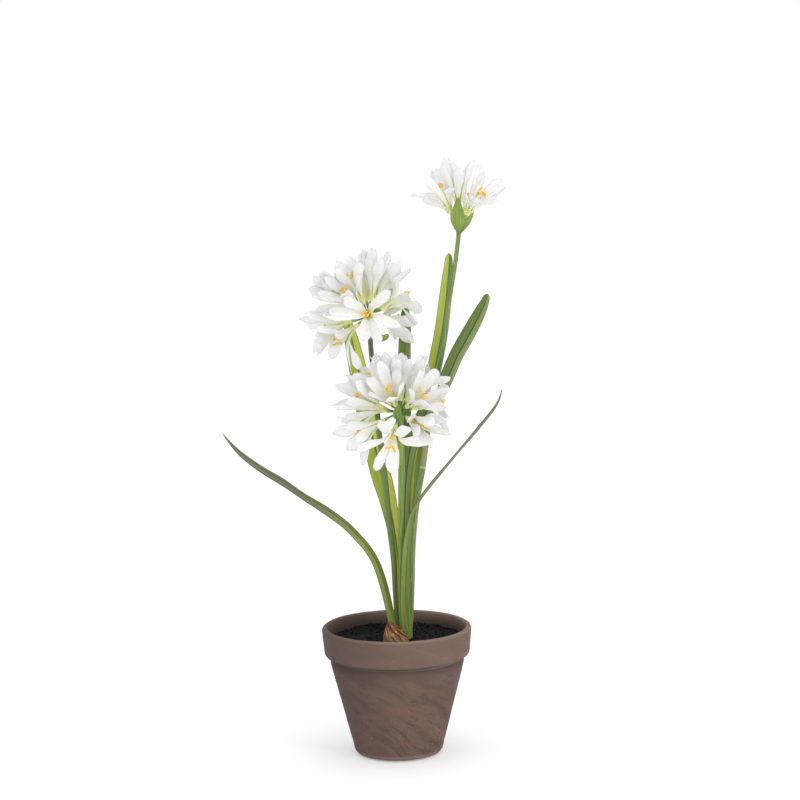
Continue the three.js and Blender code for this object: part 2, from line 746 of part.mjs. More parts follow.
// A leaf stands in a slot with straight sides.
function leafHole({ rows, crease }) {
  const foot = crossings(rows).slice(0, 2);
  const rings = foot.map(({ middle, side, face, width }, row) => {
    const ridge = crease * width;
    const back = Math.min(0, ridge - LEAF_THICKNESS / 2) - HOLE_ROOM;
    const front = Math.max(0, ridge + LEAF_THICKNESS / 2) + HOLE_ROOM;
    const half = width / 2 + HOLE_ROOM;
    const corners = [[-half, back], [half, back], [half, front], [-half, front]];
    return corners.map(([across, out]) => {
      const corner = middle.clone().addScaledVector(side, across).addScaledVector(face, out);
      return corner.setZ(deeper(corner.z, row));
    });
  });
  return skin(rings);
}

function deeper(z, row) {
  return row === 0 ? z - HOLE_ROOM : z;
}

const stems = Object.keys(HEADS).map((head) => [`stem_${head}`, makeStem(head)]);
const leaves = Object.entries(LEAVES).map(([name, leaf]) => [
  name,
  blade(leaf.rows, leaf.crease, LEAF_THICKNESS),
]);
const bulb = makeBulb();

addPart('pot', makePot(), CLAY);
const holes = wasm.Manifold.union([
  ...Object.values(HEADS).map(stemHole),
  ...Object.values(LEAVES).map(leafHole),
  makeBulb(HOLE_ROOM),
]);
addPart('soil', makeSoil(holes), SOIL);
addPart('bulb', bulb, BULB);
for (const [name, solid] of leaves) addPart(name, solid, LEAF);
for (const [name, solid] of stems) addPart(name, solid, STEM);

const places = Object.keys(HEADS).flatMap((head, h) =>
  HEADS[head].florets.map((row, k) => placeFloret(head, row, 20 * h + k)),
);
const taken = [...stems, ...leaves].map(([name, solid]) => boxed(name, solid));
const closed = Array(6).fill(null);
for (const place of places) taken.push(boxed(place.name, flower(place, closed)));

const stamens = new Map();
for (const place of places) {
  const others = taken.filter((t) => t.owner !== place.name);
  const wanted = Array.from({ length: STAMENS }, (_, k) => k);
  const fitting = wanted.filter((k) => isClear(stamen(place, k, ROOM), others));
  const solids = fitting.map((k) => stamen(place, k, 0));
  stamens.set(place.name, solids);
  taken.push(...solids.map((solid) => boxed(place.name, solid)));
}

for (const place of places) {
  const others = taken.filter((t) => t.owner !== place.name);
  const ownPetals = [];
  const bends = closed.map((_, k) => {
    const bend = roomFor(place, k, others, ownPetals);
    if (!bend) return null;
    ownPetals.push(boxed(place.name, skin(petalRings(place, k, bend, 0), true)));
    return bend;
  });
  taken.push(...ownPetals);
  const solid = wasm.Manifold.union([flower(place, bends), ...stamens.get(place.name)]);
  addPart(place.name, solid, PETAL);
}

export default group;
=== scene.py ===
# A potted white agapanthus: clay pot, soil, bulb, six leaves and three flower stems.
# The tables are in millimetres, in the frame's own axes: +Z up, and -Y is the front.
import math
from itertools import combinations
import bmesh
import bpy
from bpy.props import FloatProperty, FloatVectorProperty, PointerProperty
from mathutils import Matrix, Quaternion, Vector, kdtree, noise


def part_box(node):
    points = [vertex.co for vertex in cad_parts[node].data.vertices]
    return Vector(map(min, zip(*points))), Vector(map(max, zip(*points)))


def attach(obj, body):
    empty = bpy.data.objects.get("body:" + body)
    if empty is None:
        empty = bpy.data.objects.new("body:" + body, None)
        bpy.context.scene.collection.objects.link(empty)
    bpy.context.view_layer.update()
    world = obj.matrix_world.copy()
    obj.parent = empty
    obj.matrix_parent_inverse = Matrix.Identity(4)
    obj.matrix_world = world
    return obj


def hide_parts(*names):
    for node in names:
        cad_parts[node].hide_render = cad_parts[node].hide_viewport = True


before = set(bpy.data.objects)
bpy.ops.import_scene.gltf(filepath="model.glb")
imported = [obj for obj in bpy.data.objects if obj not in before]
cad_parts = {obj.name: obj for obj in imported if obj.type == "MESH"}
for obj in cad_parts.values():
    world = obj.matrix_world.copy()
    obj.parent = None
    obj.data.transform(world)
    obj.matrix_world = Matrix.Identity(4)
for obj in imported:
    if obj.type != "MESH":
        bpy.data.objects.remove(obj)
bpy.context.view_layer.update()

bl_info = {
    "name": "Potted agapanthus",
    "version": (1, 0, 0),
    "blender": (4, 5, 0),
    "location": "3D View > Sidebar > Agapanthus",
    "description": "Builds a white agapanthus in a clay pot, piece by piece",
    "category": "Add Mesh",
}

MM = 0.001

# A strap: how far its crease or arch stands out, as a share of its width, and its rows from
# foot to tip: x, y, z, width and its turn about its own length in degrees.
LEAVES = {
    "leaf_left_trailing": (0.16, [
        (-2.4, 0.6, 72, 5.2, 12), (-3.4, 0.2, 98, 5.8, 14), (-4.8, -0.2, 108, 6.2, 16),
        (-6.8, -0.7, 118.5, 6.4, 18), (-9.6, -1.3, 131, 6.6, 20), (-14.4, -2.4, 146.6, 6.2, 24),
        (-21.2, -3.8, 159.2, 6.2, 28), (-28.8, -5.5, 168.8, 6.8, 34),
        (-37.4, -7.5, 178.4, 7.4, 42), (-51, -10, 189.6, 7.4, 48), (-67.8, -13, 201.2, 7.2, 56),
        (-84.4, -16, 214, 7.2, 50), (-100.4, -19, 224.8, 6, 54), (-116, -22, 237.9, 4.4, 50),
        (-127.7, -25, 253, 0, 50),
    ]),
    "leaf_right_front": (0.1, [
        (8.3, -4, 72, 7, 0), (8.2, -4.2, 92.2, 7.6, 0), (7.3, -5, 103.3, 7.8, 0),
        (6.9, -6.4, 119.2, 7.8, 0), (7.4, -7.4, 134.9, 7.4, 8), (8.3, -9, 154.6, 7, 26),
        (9.4, -10.4, 167, 7, 44), (12.6, -12, 185.1, 7.2, 60), (19.5, -13, 198.2, 7.6, 70),
        (32.9, -15, 215.4, 7.8, 72), (48.3, -17.5, 234.2, 7.4, 72), (63.5, -20, 251.6, 6.6, 70),
        (78.4, -23.3, 271.6, 4.6, 66), (82.2, -24.5, 282, 0, 60),
    ]),
    "leaf_back_right": (0.12, [
        (9.6, 9.6, 72, 4.8, 0), (9.4, 10, 92, 5.2, 0), (10, 12, 116, 5.6, 0),
        (11, 14.2, 147.4, 6.6, 0), (13.6, 15.2, 186.4, 8.8, 0), (18.9, 15.4, 232.8, 10.6, 0),
        (27.2, 14.8, 271.1, 11, 4), (34, 14, 301.6, 11, 6), (38.4, 13, 324.2, 10.6, 8),
        (42.2, 12, 353, 9.2, 8), (44.4, 11.4, 374, 6.4, 8), (45, 11, 382, 0, 8),
    ]),
    "leaf_right_arching": (0.17, [
        (6.9, 4.9, 72, 4.6, 0), (6.9, 4.9, 94, 5.2, 0), (6.6, 4.9, 118, 6, 0), (7, 5, 165, 7, 0),
        (8.6, 4.4, 206, 8.6, 4), (13.8, 1.6, 240, 10.4, 8), (22.8, -2, 259.8, 11.2, 14),
        (32, -4, 273, 11.6, 18), (40.3, -4.4, 287.4, 11.6, 18), (48.6, -4, 305.2, 11.4, 16),
        (58.4, -3, 322.2, 11, 12), (66.2, -1.6, 336, 9.6, 10), (71.2, -0.8, 346, 6.4, 10),
        (73.2, -0.2, 351.4, 0, 10),
    ]),
    "leaf_upright": (0.12, [
        (6, 8.2, 72, 6, 0), (5.8, 8.4, 92, 7, 0), (6.1, 9, 115.8, 7.8, 0),
        (6.8, 9.6, 147.2, 8.6, 0), (7.9, 10.6, 194, 9.2, 0), (8.7, 12, 233, 9.6, 0),
        (9.4, 13.6, 275, 9.8, 0), (10, 15, 309.8, 9.4, 0), (10.8, 16, 326, 8.8, 0),
        (11.2, 16.6, 338, 6, 0), (11.2, 17, 343, 0, 0),
    ]),
    "leaf_left_upright": (-0.2, [
        (4, 11.6, 72, 5.4, 0), (4, 12, 92, 6.4, 0), (3.4, 13, 115.3, 7, 0), (2.2, 14, 139, 7.6, 0),
        (0.2, 15, 162.8, 9.4, 0), (-5.2, 16.2, 194.1, 13.4, 0), (-9.5, 17, 211, 15.4, 0),
        (-13.4, 17.6, 228.6, 15.8, 0), (-17.8, 18, 248.8, 15.4, 0), (-22.1, 18.6, 272, 14.6, 0),
        (-26.2, 19.4, 295.3, 13.4, 0), (-29.2, 20.2, 310.6, 12, 0), (-31.6, 20.8, 323.6, 8.4, 0),
        (-32.6, 21.2, 331, 0, 0),
    ]),
}
# A head: its stem's rows, which are x, y, z and radius, its bracts, which are straps, and its
# florets. A floret's name comes first, then its bearing in the front view, how far it leans
# forward, its pedicel's length, its roll and how far it opens, all but the length in degrees.
# Where two rows of six follow, they are each petal's swing round the floret and lean outwards.
HEADS = {
    "top": {
        "stem": [
            (9.6, 1.2, 72, 2.4), (9.7, 1.2, 92, 2.4), (10.5, 1.4, 103, 2.4), (12.1, 1.8, 133, 2.4),
            (13.6, 2.1, 164, 2.4), (17.3, 2.4, 195, 2.4), (22.6, 2.8, 223.4, 2.5),
            (27.1, 3.1, 252.3, 2.3), (33.4, 3.5, 286.6, 2.1), (39.8, 3.9, 317, 2),
            (44.4, 4.2, 347.1, 1.8), (49.7, 4.7, 377.1, 1.7), (52.2, 5, 396, 1.7),
            (52.6, 5, 401, 2.6),
        ],
        "bracts": [
            (0.42, [
                (52.3, 4.6, 396, 2.4, 0), (51.9, 2.2, 400.4, 4.6, 0), (51.6, -1.2, 405, 9.4, 0),
                (51.4, -3.4, 409.5, 10.8, 0), (51.7, -4.6, 416.4, 7.4, 0), (51.9, -4.6, 421, 4, 0),
                (52, -4.4, 424, 0, 0),
            ]),
            (0.4, [
                (52.6, 4.9, 396.8, 2.4, 60), (55.4, 4.2, 402.2, 6.6, 60),
                (58.2, 3.2, 406.4, 7.8, 55), (60.4, 2.4, 410.4, 6.8, 50),
                (62.4, 1.8, 413.8, 3.6, 50), (64.1, 1.6, 416.8, 0, 50),
            ]),
        ],
        "florets": [
            ("centre", 92, 10, 14, 39, 24, (0, 11, 0, 0, -5, 0), (0, 5, -14, 0, 8, -3)),
            ("left", 115, 8, 12, 22, 45, (0, 0, 0, 14, -12, 0), (-9, -4, 24, 13, -9, 0)),
            ("right", 58, 30, 12.7, 1, 39, (-8, 0, -6, -8, 12, -12), (-16, 10, 0, -30, 10, -3)),
            ("back_left", 116, -42, 12, 10, 34, (6, 5, 7, -6, 16, -5), (-1, 8, -1, 0, -1, -4)),
            ("back_right", 66, -40, 12, 40, 36),
        ],
    },
    "left": {
        "stem": [
            (1.2, 4.2, 72, 2.1), (1.4, 4.1, 92, 2.1), (0.6, 3.8, 103, 2.1), (-0.3, 3, 117.3, 2.1),
            (-1.5, 1.6, 148.8, 2.1), (-4.5, 0.1, 180.2, 2.3), (-6.9, -1.4, 211.3, 2.4),
            (-10, -3.1, 242.3, 2.2), (-12.2, -5.1, 273.2, 2), (-15.3, -8.2, 311.5, 1.9),
            (-16, -11, 330, 1.9), (-16.2, -12, 337.4, 2.8),
        ],
        "bracts": [
            (0.35, [
                (-15.6, -12.2, 333.5, 2.4, 0), (-13.4, -14.8, 327.2, 5, 0),
                (-9.6, -16.4, 321.8, 6.4, 0), (-5.4, -17, 321.2, 4.6, 0),
                (-1.6, -17.2, 323.6, 0, 0),
            ]),
        ],
        "florets": [
            ("face", 110, 82, 11, 0, 53, (-26, -19, 21, -8, 25, 8), (13, 2, -11, 20, -10, -13)),
            ("top", 82, 5, 11, 0, 19, (4, -9, -2, 0, 14, -17), (-3, 6, -6, -3, 12, 0)),
            ("top_left", 113, 9, 9.5, 5, 36, (0, 14, -13, 0, 0, 0), (0, 7, -7, 0, 0, 0)),
            ("upper_left", 130, 40, 11.7, 48, 26),
            ("left", 142, 23, 12.2, 40, 22, (-7, 4, 0, 1, 4, 2), (-4, -8, -5, -6, -4, 5)),
            ("lower_left", 195, 12, 13.3, 33, 36, (0, -7, -3, 15, 0, 5), (-11, 5, 6, -3, 0, 6)),
            ("low", 216, 25, 10.6, 32, 52, (-14, 18, 0, 0, -22, 0), (-14, -10, 10, 12, 18, 0)),
            ("top_right", 64, -16, 9.1, 20, 30),
            ("right", 27, -9, 9.5, 15, 72, (21, 0, 0, 3, 21, -21), (9, 0, 0, -6, 3, -5)),
            ("lower_right", -14, -52, 8.5, 16, 34, (9, -6, 0, 0, 0, 24), (9, -9, 0, 0, 0, -24)),
            ("back_left", 150, -45, 11, 12, 40),
            ("back_right", 40, -50, 11, 30, 40, (0, 7, -3, 4, 0, 22), (-4, -5, 4, -5, -3, 2)),
            ("behind_top", 98, -30, 11, 20, 36),
        ],
    },
    "front": {
        "stem": [
            (4.8, -0.8, 72, 2.4), (4.6, -0.9, 92, 2.4), (4.2, -1.2, 103, 2.4),
            (3.2, -2.2, 130, 2.4), (4, -4.6, 152, 2.4), (4.8, -10, 180, 2.4), (5.5, -19, 208, 2.4),
            (5.9, -28.5, 231, 2.4), (5.6, -38.5, 255, 2.4), (4.9, -45, 268, 3),
        ],
        "bracts": [
            (0.35, [
                (5.2, -41.5, 260, 2.6, 0), (4.6, -44, 251, 5.6, 0), (4.2, -43, 243, 6.2, 0),
                (4.4, -40, 236, 5.6, 0), (4.4, -37, 230, 3.4, 0), (4.4, -36, 227.4, 0, 0),
            ]),
            (0.32, [
                (5.2, -43, 264, 2.6, 0), (3.6, -49, 266.5, 6.8, 0), (4, -51.4, 271, 5, 0),
                (4.4, -52, 275.8, 0, 0),
            ]),
        ],
        "florets": [
            ("face", 252, 49, 12, 31, 70, (4, -11, 5, 9, -21, 13), (9, 2, -16, -8, -10, 24)),
            ("top", 88, 0, 8.8, 6, 44, (0, 17, -23, 0, 20, -14), (0, 1, 6, 0, 2, 2)),
            ("upper", 110, 50, 10, 36, 26),
            ("top_left", 104, -36, 9, 51, 24, (1, -6, 4, 2, 6, -3), (-5, -6, -4, -6, 12, 3)),
            ("upper_left", 124, -2, 11.3, 49, 40, (6, 14, -12, 5, 0, 3), (-4, 8, 10, 4, 2, 5)),
            ("left", 155, 26, 14, 33, 24, (0, 0, 3, 7, -11, 0), (0, -8, 10, -3, -5, 10)),
            ("behind_left", 138, -48, 10, 31, 36),
            ("lower_left", 202, 25, 12.2, 44, 36,
             (-15, 6, -21, 15, 15, -7), (-3, 1, 22, 9, 6, -4)),
            ("lower_right", -21, 58, 11, 57, 30,
             (14, 11, 3, -28, 0, 19), (-4, -24, 15, -11, 0, 3)),
            ("right", 16, -8, 9, 12, 54, (9, 0, 3, -6, 0, -18), (21, 0, 3, 21, 0, 24)),
            ("top_right", 58, 0, 9.5, 50, 36, (12, 0, 0, 6, 0, -20), (15, 0, 0, -3, 0, 6)),
            ("upper_right", 42, 45, 10, 30, 30),
            ("back_right", 52, -62, 11, 20, 34),
            ("back_left", 175, -42, 11, 10, 36),
        ],
    },
}
# The bulb from its buried foot up: x, y, z and radius.
BULB_ROWS = [
    (-0.2, -12.2, 80, 5), (-0.3, -12.2, 83.5, 7.8), (-0.5, -12.2, 88, 8.8),
    (-1.2, -12.1, 92.5, 8.3), (-2.4, -12, 97, 6.2), (-3.8, -12, 100.6, 3.7), (-4.9, -12, 103, 1.8),
]

# ---- numbers, directions and curves -------------------------------------------------------
UP = Vector((0, 0, 1))
FRONT = Vector((0, -1, 0))


def srgb(*steps):
    """A colour of 0 to 255 steps as the linear one that shaders take."""
    return tuple(c / 255 / 12.92 if c <= 10 else ((c / 255 + 0.055) / 1.055) ** 2.4 for c in steps)


def draw(n):
    """A repeatable draw between -1 and 1."""
    v = math.sin(n * 12.9898 + 4.1) * 43758.5453
    return 2 * (v - math.floor(v)) - 1


def smooth(t):
    """0 below 0, 1 above 1, and smooth between."""
    c = min(max(t, 0.0), 1.0)
    return c * c * (3 - 2 * c)


def circle(count):
    """Angles in even steps all the way round."""
    return [2 * math.pi * k / count for k in range(count)]


def polar(radius, angle, height=0.0):
    """The place at a radius and an angle round the pot's axis, and at a height."""
    return Vector((radius * math.cos(angle), radius * math.sin(angle), height))


def square_to(along):
    """Two directions square to a third, the first as near to the front as it goes."""
    ahead = UP if abs(along.y) > 0.95 else FRONT
    face = (ahead - along * ahead.dot(along)).normalized()
    return face, along.cross(face).normalized()


class Route:
    """The smooth line through a table's points, and where it is at each row and between rows."""

    def __init__(self, rows):
        self.points = [Vector(row[:3]) for row in rows]

    def _stretch(self, i):
        points = self.points
        p1, p2 = points[i], points[i + 1]
        p0 = points[i - 1] if i > 0 else p1 * 2 - p2
        p3 = points[i + 2] if i + 2 < len(points) else p2 * 2 - p1
        d0, d1, d2 = (math.sqrt((b - a).length) for a, b in ((p0, p1), (p1, p2), (p2, p3)))
        start = ((p1 - p0) / d0 - (p2 - p0) / (d0 + d1) + (p2 - p1) / d1) * d1
        end = ((p2 - p1) / d1 - (p3 - p1) / (d1 + d2) + (p3 - p2) / d2) * d1
        return p1, start, (p2 - p1) * 3 - start * 2 - end, (p1 - p2) * 2 + start + end

    def at(self, i, t):
        """The point and the direction at share t between rows i and i + 1."""
        c0, c1, c2, c3 = self._stretch(i)
        point = c0 + c1 * t + c2 * (t * t) + c3 * (t * t * t)
        along = c1 + c2 * (2 * t) + c3 * (3 * t * t)
        return point, along.normalized()

    def length(self, i):
        return (self.points[i + 1] - self.points[i]).length


def steepness(before, here, after):
    """How steep a line may be at a value without passing the values beside it."""
    if (here - before) * (after - here) <= 0:
        return 0
    return min(abs(after - before) / 2, 3 * abs(after - here), 3 * abs(here - before))


def between(values, i, t):
    """A number between rows i and i + 1, on a smooth line that stays between its neighbours."""
    a, b = values[i], values[i + 1]
    start = steepness(values[i - 1] if i > 0 else a, a, b)
    end = steepness(a, b, values[i + 2] if i + 2 < len(values) else b)
    way = 1 if b >= a else -1
    t2, t3 = t * t, t * t * t
    return (
        a * (2 * t3 - 3 * t2 + 1)
        + b * (3 * t2 - 2 * t3)
        + way * start * (t3 - 2 * t2 + t)
        + way * end * (t3 - t2)
    )


# ---- building meshes ----------------------------------------------------------------------
class Build:
    """The points and faces of one piece, in millimetres, with the grain that its finish reads."""

    def __init__(self):
        self.points = []
        self.grains = []
        self.faces = []
        self.finishes = []

    def point(self, place, grain=(0, 0, 0)):
        self.points.append(place)
        self.grains.append(grain)
        return len(self.points) - 1

    def ring(self, places, grains):
        first = len(self.points)
        self.points.extend(places)
        self.grains.extend(grains)
        return list(range(first, first + len(places)))

    def face(self, corners, finish=0):
        self.faces.append(corners)
        self.finishes.append(finish)

    def fan(self, hub, ring, finish=0):
        """Triangles from one point to each side of a ring."""
        for j, corner in enumerate(ring):
            self.face((hub, corner, ring[(j + 1) % len(ring)]), finish)

    def tube(self, rings, finish=0):
        """Quads from ring to ring, each ring closed on itself."""
        for low, high in zip(rings, rings[1:]):
            count = len(low)
            for j in range(count):
                n = (j + 1) % count
                self.face((low[j], low[n], high[n], high[j]), finish)

    def cap(self, ring, finish=0):
        """Closes a ring of any size with one point in its middle."""
        middle = sum((self.points[i] for i in ring), Vector()) / len(ring)
        self.fan(self.point(middle, self.grains[ring[0]]), ring, finish)

    def rod(self, rings, finish=0):
        """A tube that is closed at both ends."""
        self.tube(rings, finish)
        self.cap(rings[0], finish)
        self.cap(rings[-1], finish)

    def thin_sheet(self, rings, finish=0):
        """A sheet whose rings run out along one face and back along the other, with closed ends."""
        self.tube(rings, finish)
        for ring in (rings[0], rings[-1]):
            for j in range(len(ring) // 2 - 1):
                self.face((ring[j], ring[j + 1], ring[-2 - j], ring[-1 - j]), finish)

    def piece(self, name, finishes, node):
        """Makes the object, which rides on the only body and stands for the node named."""
        mesh = bpy.data.meshes.new(name)
        mesh.from_pydata([p * MM for p in self.points], [], self.faces)
        for finish in finishes:
            mesh.materials.append(finish)
        mesh.polygons.foreach_set("material_index", self.finishes)
        mesh.polygons.foreach_set("use_smooth", [True] * len(self.faces))
        grain = mesh.attributes.new("grain", "FLOAT_VECTOR", "POINT")
        grain.data.foreach_set("vector", [c for g in self.grains for c in g])
        shell = bmesh.new()
        shell.from_mesh(mesh)
        bmesh.ops.recalc_face_normals(shell, faces=shell.faces)
        shell.to_mesh(mesh)
        shell.free()
        mesh.update()
        obj = bpy.data.objects.new(name, mesh)
        bpy.context.scene.collection.objects.link(obj)
        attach(obj, "root")
        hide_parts(node)
        return obj


def round_ring(build, middle, u, v, radius, sides, grain_of, shape=None):
    """A round section, or one whose radius shape(angle) changes."""
    places, grains = [], []
    for a in circle(sides):
        r = radius * (shape(a) if shape else 1)
        places.append(middle + (u * math.cos(a) + v * math.sin(a)) * r)
        grains.append(grain_of(a))
    return build.ring(places, grains)


def thread(build, points, radii, sides, finish, grain):
    """A thin round strand through points, closed at both ends."""
    rings = []
    run = 0.0
    for i, place in enumerate(points):
        ahead = points[min(i + 1, len(points) - 1)] - points[max(i - 1, 0)]
        face, side = square_to(ahead.normalized())
        if i:
            run += (place - points[i - 1]).length
        rings.append(
            round_ring(build, place, side, face, radii[i], sides, lambda a: (grain, run, a))
        )
    build.rod(rings, finish)


def bowed(start, end, bow, steps):
    """Points from start to end on a line that bows sideways in its middle."""
    return [
        start.lerp(end, i / steps) + bow * math.sin(math.pi * i / steps)
        for i in range(steps + 1)
    ]


# ---- shader maths -------------------------------------------------------------------------
class Value:
    """A shader socket that stands in sums as a number does."""

    def __init__(self, finish, socket):
        self.finish = finish
        self.socket = socket

    def _math(self, operation, *others):
        node = self.finish.node("ShaderNodeMath", {"operation": operation}, dict(enumerate(others)))
        return Value(self.finish, node.outputs[0])

    def __add__(self, other):
        return self._math("ADD", self, other)

    def __radd__(self, other):
        return self._math("ADD", other, self)

    def __sub__(self, other):
        return self._math("SUBTRACT", self, other)

    def __rsub__(self, other):
        return self._math("SUBTRACT", other, self)

    def __mul__(self, other):
        return self._math("MULTIPLY", self, other)

    def __rmul__(self, other):
        return self._math("MULTIPLY", other, self)

    def __pow__(self, other):
        return self._math("POWER", self, other)

    def __rpow__(self, other):
        return self._math("POWER", other, self)

    def __abs__(self):
        return self._math("ABSOLUTE", self)

    def angle_to(self, other):
        return self._math("ARCTAN2", self, other)

    def rise(self, low, high):
        """0 below low, 1 above high, and smooth between."""
        node = self.finish.node(
            "ShaderNodeMapRange",
            {"interpolation_type": "SMOOTHSTEP"},
            {"Value": self, "From Min": low, "From Max": high},
        )
        return Value(self.finish, node.outputs[0])

    def line(self, middle, core, reach):
        """1 within core of a middle and 0 beyond reach of it."""
        return 1 - abs(self - middle).rise(core, reach)


class Finish:
    """One procedural material and the nodes that make it."""

    def __init__(self, name):
        self.material = bpy.data.materials.new(name)
        self.material.use_nodes = True
        self.tree = self.material.node_tree
        self.tree.nodes.clear()
        place = self.node("ShaderNodeTexCoord").outputs["Object"]
        self.mm = self.scaled(place, (1 / MM, 1 / MM, 1 / MM))
        grain = self.node("ShaderNodeAttribute", {"attribute_name": "grain"}).outputs["Vector"]
        self.across, self.along, self.tone = self.parts(grain)

    def node(self, kind, settings=None, sockets=None):
        """A node of a kind: its settings go in first, then the values or links of its sockets."""
        node = self.tree.nodes.new(kind)
        for key, value in (settings or {}).items():
            setattr(node, key, value)
        for key, value in (sockets or {}).items():
            if isinstance(value, Value):
                value = value.socket
            if isinstance(value, bpy.types.NodeSocket):
                self.tree.links.new(value, node.inputs[key])
            else:
                node.inputs[key].default_value = value
        return node

    def scaled(self, vector, factors):
        node = self.node("ShaderNodeVectorMath", {"operation": "MULTIPLY"}, {0: vector, 1: factors})
        return node.outputs[0]

    def parts(self, vector):
        node = self.node("ShaderNodeSeparateXYZ", None, {0: vector})
        return [Value(self, node.outputs[i]) for i in range(3)]

    def joined(self, x, y, z):
        return self.node("ShaderNodeCombineXYZ", None, {0: x, 1: y, 2: z}).outputs[0]

    def noise(self, vector, scale, detail=3.0, rough=0.55, twist=0.0):
        sockets = {"Vector": vector, "Scale": scale, "Detail": detail}
        sockets.update({"Roughness": rough, "Distortion": twist})
        return Value(self, self.node("ShaderNodeTexNoise", None, sockets).outputs[0])

    def streaks(self, x, y, z, detail=3.0, rough=0.55, twist=0.0):
        """Noise in a space of its own, such as one that is drawn out along the piece."""
        return self.noise(self.joined(x, y, z), 1.0, detail, rough, twist)

    def cells(self, vector, scale):
        """How far the nearest of many scattered points is."""
        node = self.node("ShaderNodeTexVoronoi", None, {"Vector": vector, "Scale": scale})
        return Value(self, node.outputs[0])

    def mix(self, share, first, second):
        """One colour at share 0 and the other at share 1."""
        ends = {0: share}
        for key, colour in ((6, first), (7, second)):
            is_link = isinstance(colour, bpy.types.NodeSocket)
            ends[key] = colour if is_link else (*colour, 1)
        return self.node("ShaderNodeMix", {"data_type": "RGBA"}, ends).outputs[2]

    def coated(self, colour, *coats):
        """A colour under coats, each of which is a share and a tone."""
        for share, tone in coats:
            colour = self.mix(share, colour, tone)
        return colour

    def bump(self, height, distance):
        """A normal from a height, whose full step is distance millimetres."""
        sockets = {"Height": height, "Distance": distance * MM}
        return self.node("ShaderNodeBump", None, sockets).outputs[0]

    def surface(self, colour, roughness, normal=None, **fixed):
        """The shader itself. fixed are the numbers that are the same all over."""
        sockets = {"Base Color": colour, "Roughness": roughness}
        if normal is not None:
            sockets["Normal"] = normal
        for key, value in fixed.items():
            sockets[key.replace("_", " ")] = value
        shader = self.node("ShaderNodeBsdfPrincipled", None, sockets)
        out = self.node("ShaderNodeOutputMaterial")
        self.tree.links.new(shader.outputs[0], out.inputs[0])
        return self.material


# ---- pot ----------------------------------------------------------------------------------
POT_SECTORS = 160
POT_STEP = 2.6  # between the wall's rings
POT_HUB = 0.5  # a ring smaller than this is a single point
POT_SKIN = 0.25  # what the wall above the base gives up to its dents
BASE_TOP = 6.5  # the wall starts above this
UNDERSIDE = 5  # and the foot stays flat below this
# Radius and height, from the middle of the underside out, up, over the lip and down inside.
POT_PROFILE = [
    (0, 0), (12, 0), (24, 0), (30, 0.05), (32.6, 0.9), (33.9, 2.6), (34.7, 5.4), (36.2, 11.2),
    (38, 18), (39.8, 25), (41.6, 32), (43.4, 39), (45.2, 46), (47, 53), (48.8, 60), (50.2, 65.4),
    (51.2, 70), (51.6, 73.6), (51.7, 75.4), (52.3, 76.1), (54.1, 76.4), (55.1, 76.9),
    (55.8, 77.8), (56.1, 79.2), (56.4, 83), (56.7, 87), (57.1, 91), (57.4, 94.4), (57.35, 96.2),
    (56.8, 97.4), (55.9, 98.1), (55, 98.2), (54.1, 97.9), (53.4, 97), (53, 95), (52.2, 92),
    (51.4, 89.4), (50.4, 85.4), (48, 75.6), (44, 59.3), (38, 34.8), (33, 14.4), (31.2, 7.4),
    (29.6, 6.2), (20, 6), (0, 6),
]
FOOT, COLLAR, LIP = 2.2, 75, 97.6  # heights of the bottom edge, the collar's and the lip, whose pale line is a painted highlight
WALL_UNROLLED = 46  # the mean radius at which the wall is unrolled for its strokes
MOUTH = 52.6  # a high wall nearer the axis than this is the inner one
# The groove tone is a painted highlight, the side tone and the inner wall's two dark tones are
# painted shade, and the pale tone of the lip, collar and foot is painted light, with wear at the
# foot.
CLAY_TONES = {
    "light": srgb(122, 102, 93), "red": srgb(130, 90, 80), "grit": srgb(84, 68, 60),
    "hairline": srgb(56, 45, 41), "pale_hairline": srgb(160, 148, 140),
    "light_and_wear": srgb(150, 130, 120), "groove": srgb(200, 184, 178), "side": srgb(70, 56, 50),
    "speck": srgb(190, 178, 170), "inner_shade": srgb(70, 52, 42), "deep_shade": srgb(34, 26, 22),
}


def wall_ring(build, radius, height, run):
    """One ring of the wall, with the marks of turning and a few soft dents."""
    turning = 0.05 * math.sin(height * 2.1) + 0.04 * math.sin(height * 5.3 + 1)
    inset = -POT_SKIN if height > BASE_TOP else 0
    share = smooth(radius / 30)
    places, grains = [], []
    for a in circle(POT_SECTORS):
        way = polar(1, a)
        spot = way * radius + Vector((0, 0, height))
        dent = 0.16 * noise.noise(spot * 0.045) + 0.05 * noise.noise(spot * 0.2)
        r = radius + (turning + dent + inset) * share
        rise = 0.06 * share * noise.noise(spot * 0.07) * (height > UNDERSIDE)
        places.append(way * r + Vector((0, 0, height + rise)))
        grains.append((a, height, run))
    return build.ring(places, grains)


def build_pot(settings):
    """The clay pot: a turned body with its rim band, lip and inner wall."""
    build = Build()
    tall = settings.height / MM / max(height for _, height in POT_PROFILE)
    wide = settings.rim_radius / MM / max(radius for radius, _ in POT_PROFILE)
    route = Route([(r * wide, 0, z * tall) for r, z in POT_PROFILE])
    rings = []
    run = 0.0
    for i in range(len(POT_PROFILE) - 1):
        steps = max(1, round(route.length(i) / POT_STEP))
        for s in range(steps if i + 2 < len(POT_PROFILE) else steps + 1):
            point, _ = route.at(i, s / steps)
            radius, height = max(point.x, 0.0), point.z
            run += route.length(i) / steps
            if radius < POT_HUB:
                rings.append(build.ring([Vector((0, 0, height))], [(0, run, 0)]))
            else:
                rings.append(wall_ring(build, radius, height, run))
    for low, high in zip(rings, rings[1:]):
        if len(low) == 1:
            build.fan(low[0], high)
        elif len(high) == 1:
            build.fan(high[0], low)
        else:
            build.tube([low, high])
    return build.piece("clay_pot", [clay_finish(settings)], "pot")


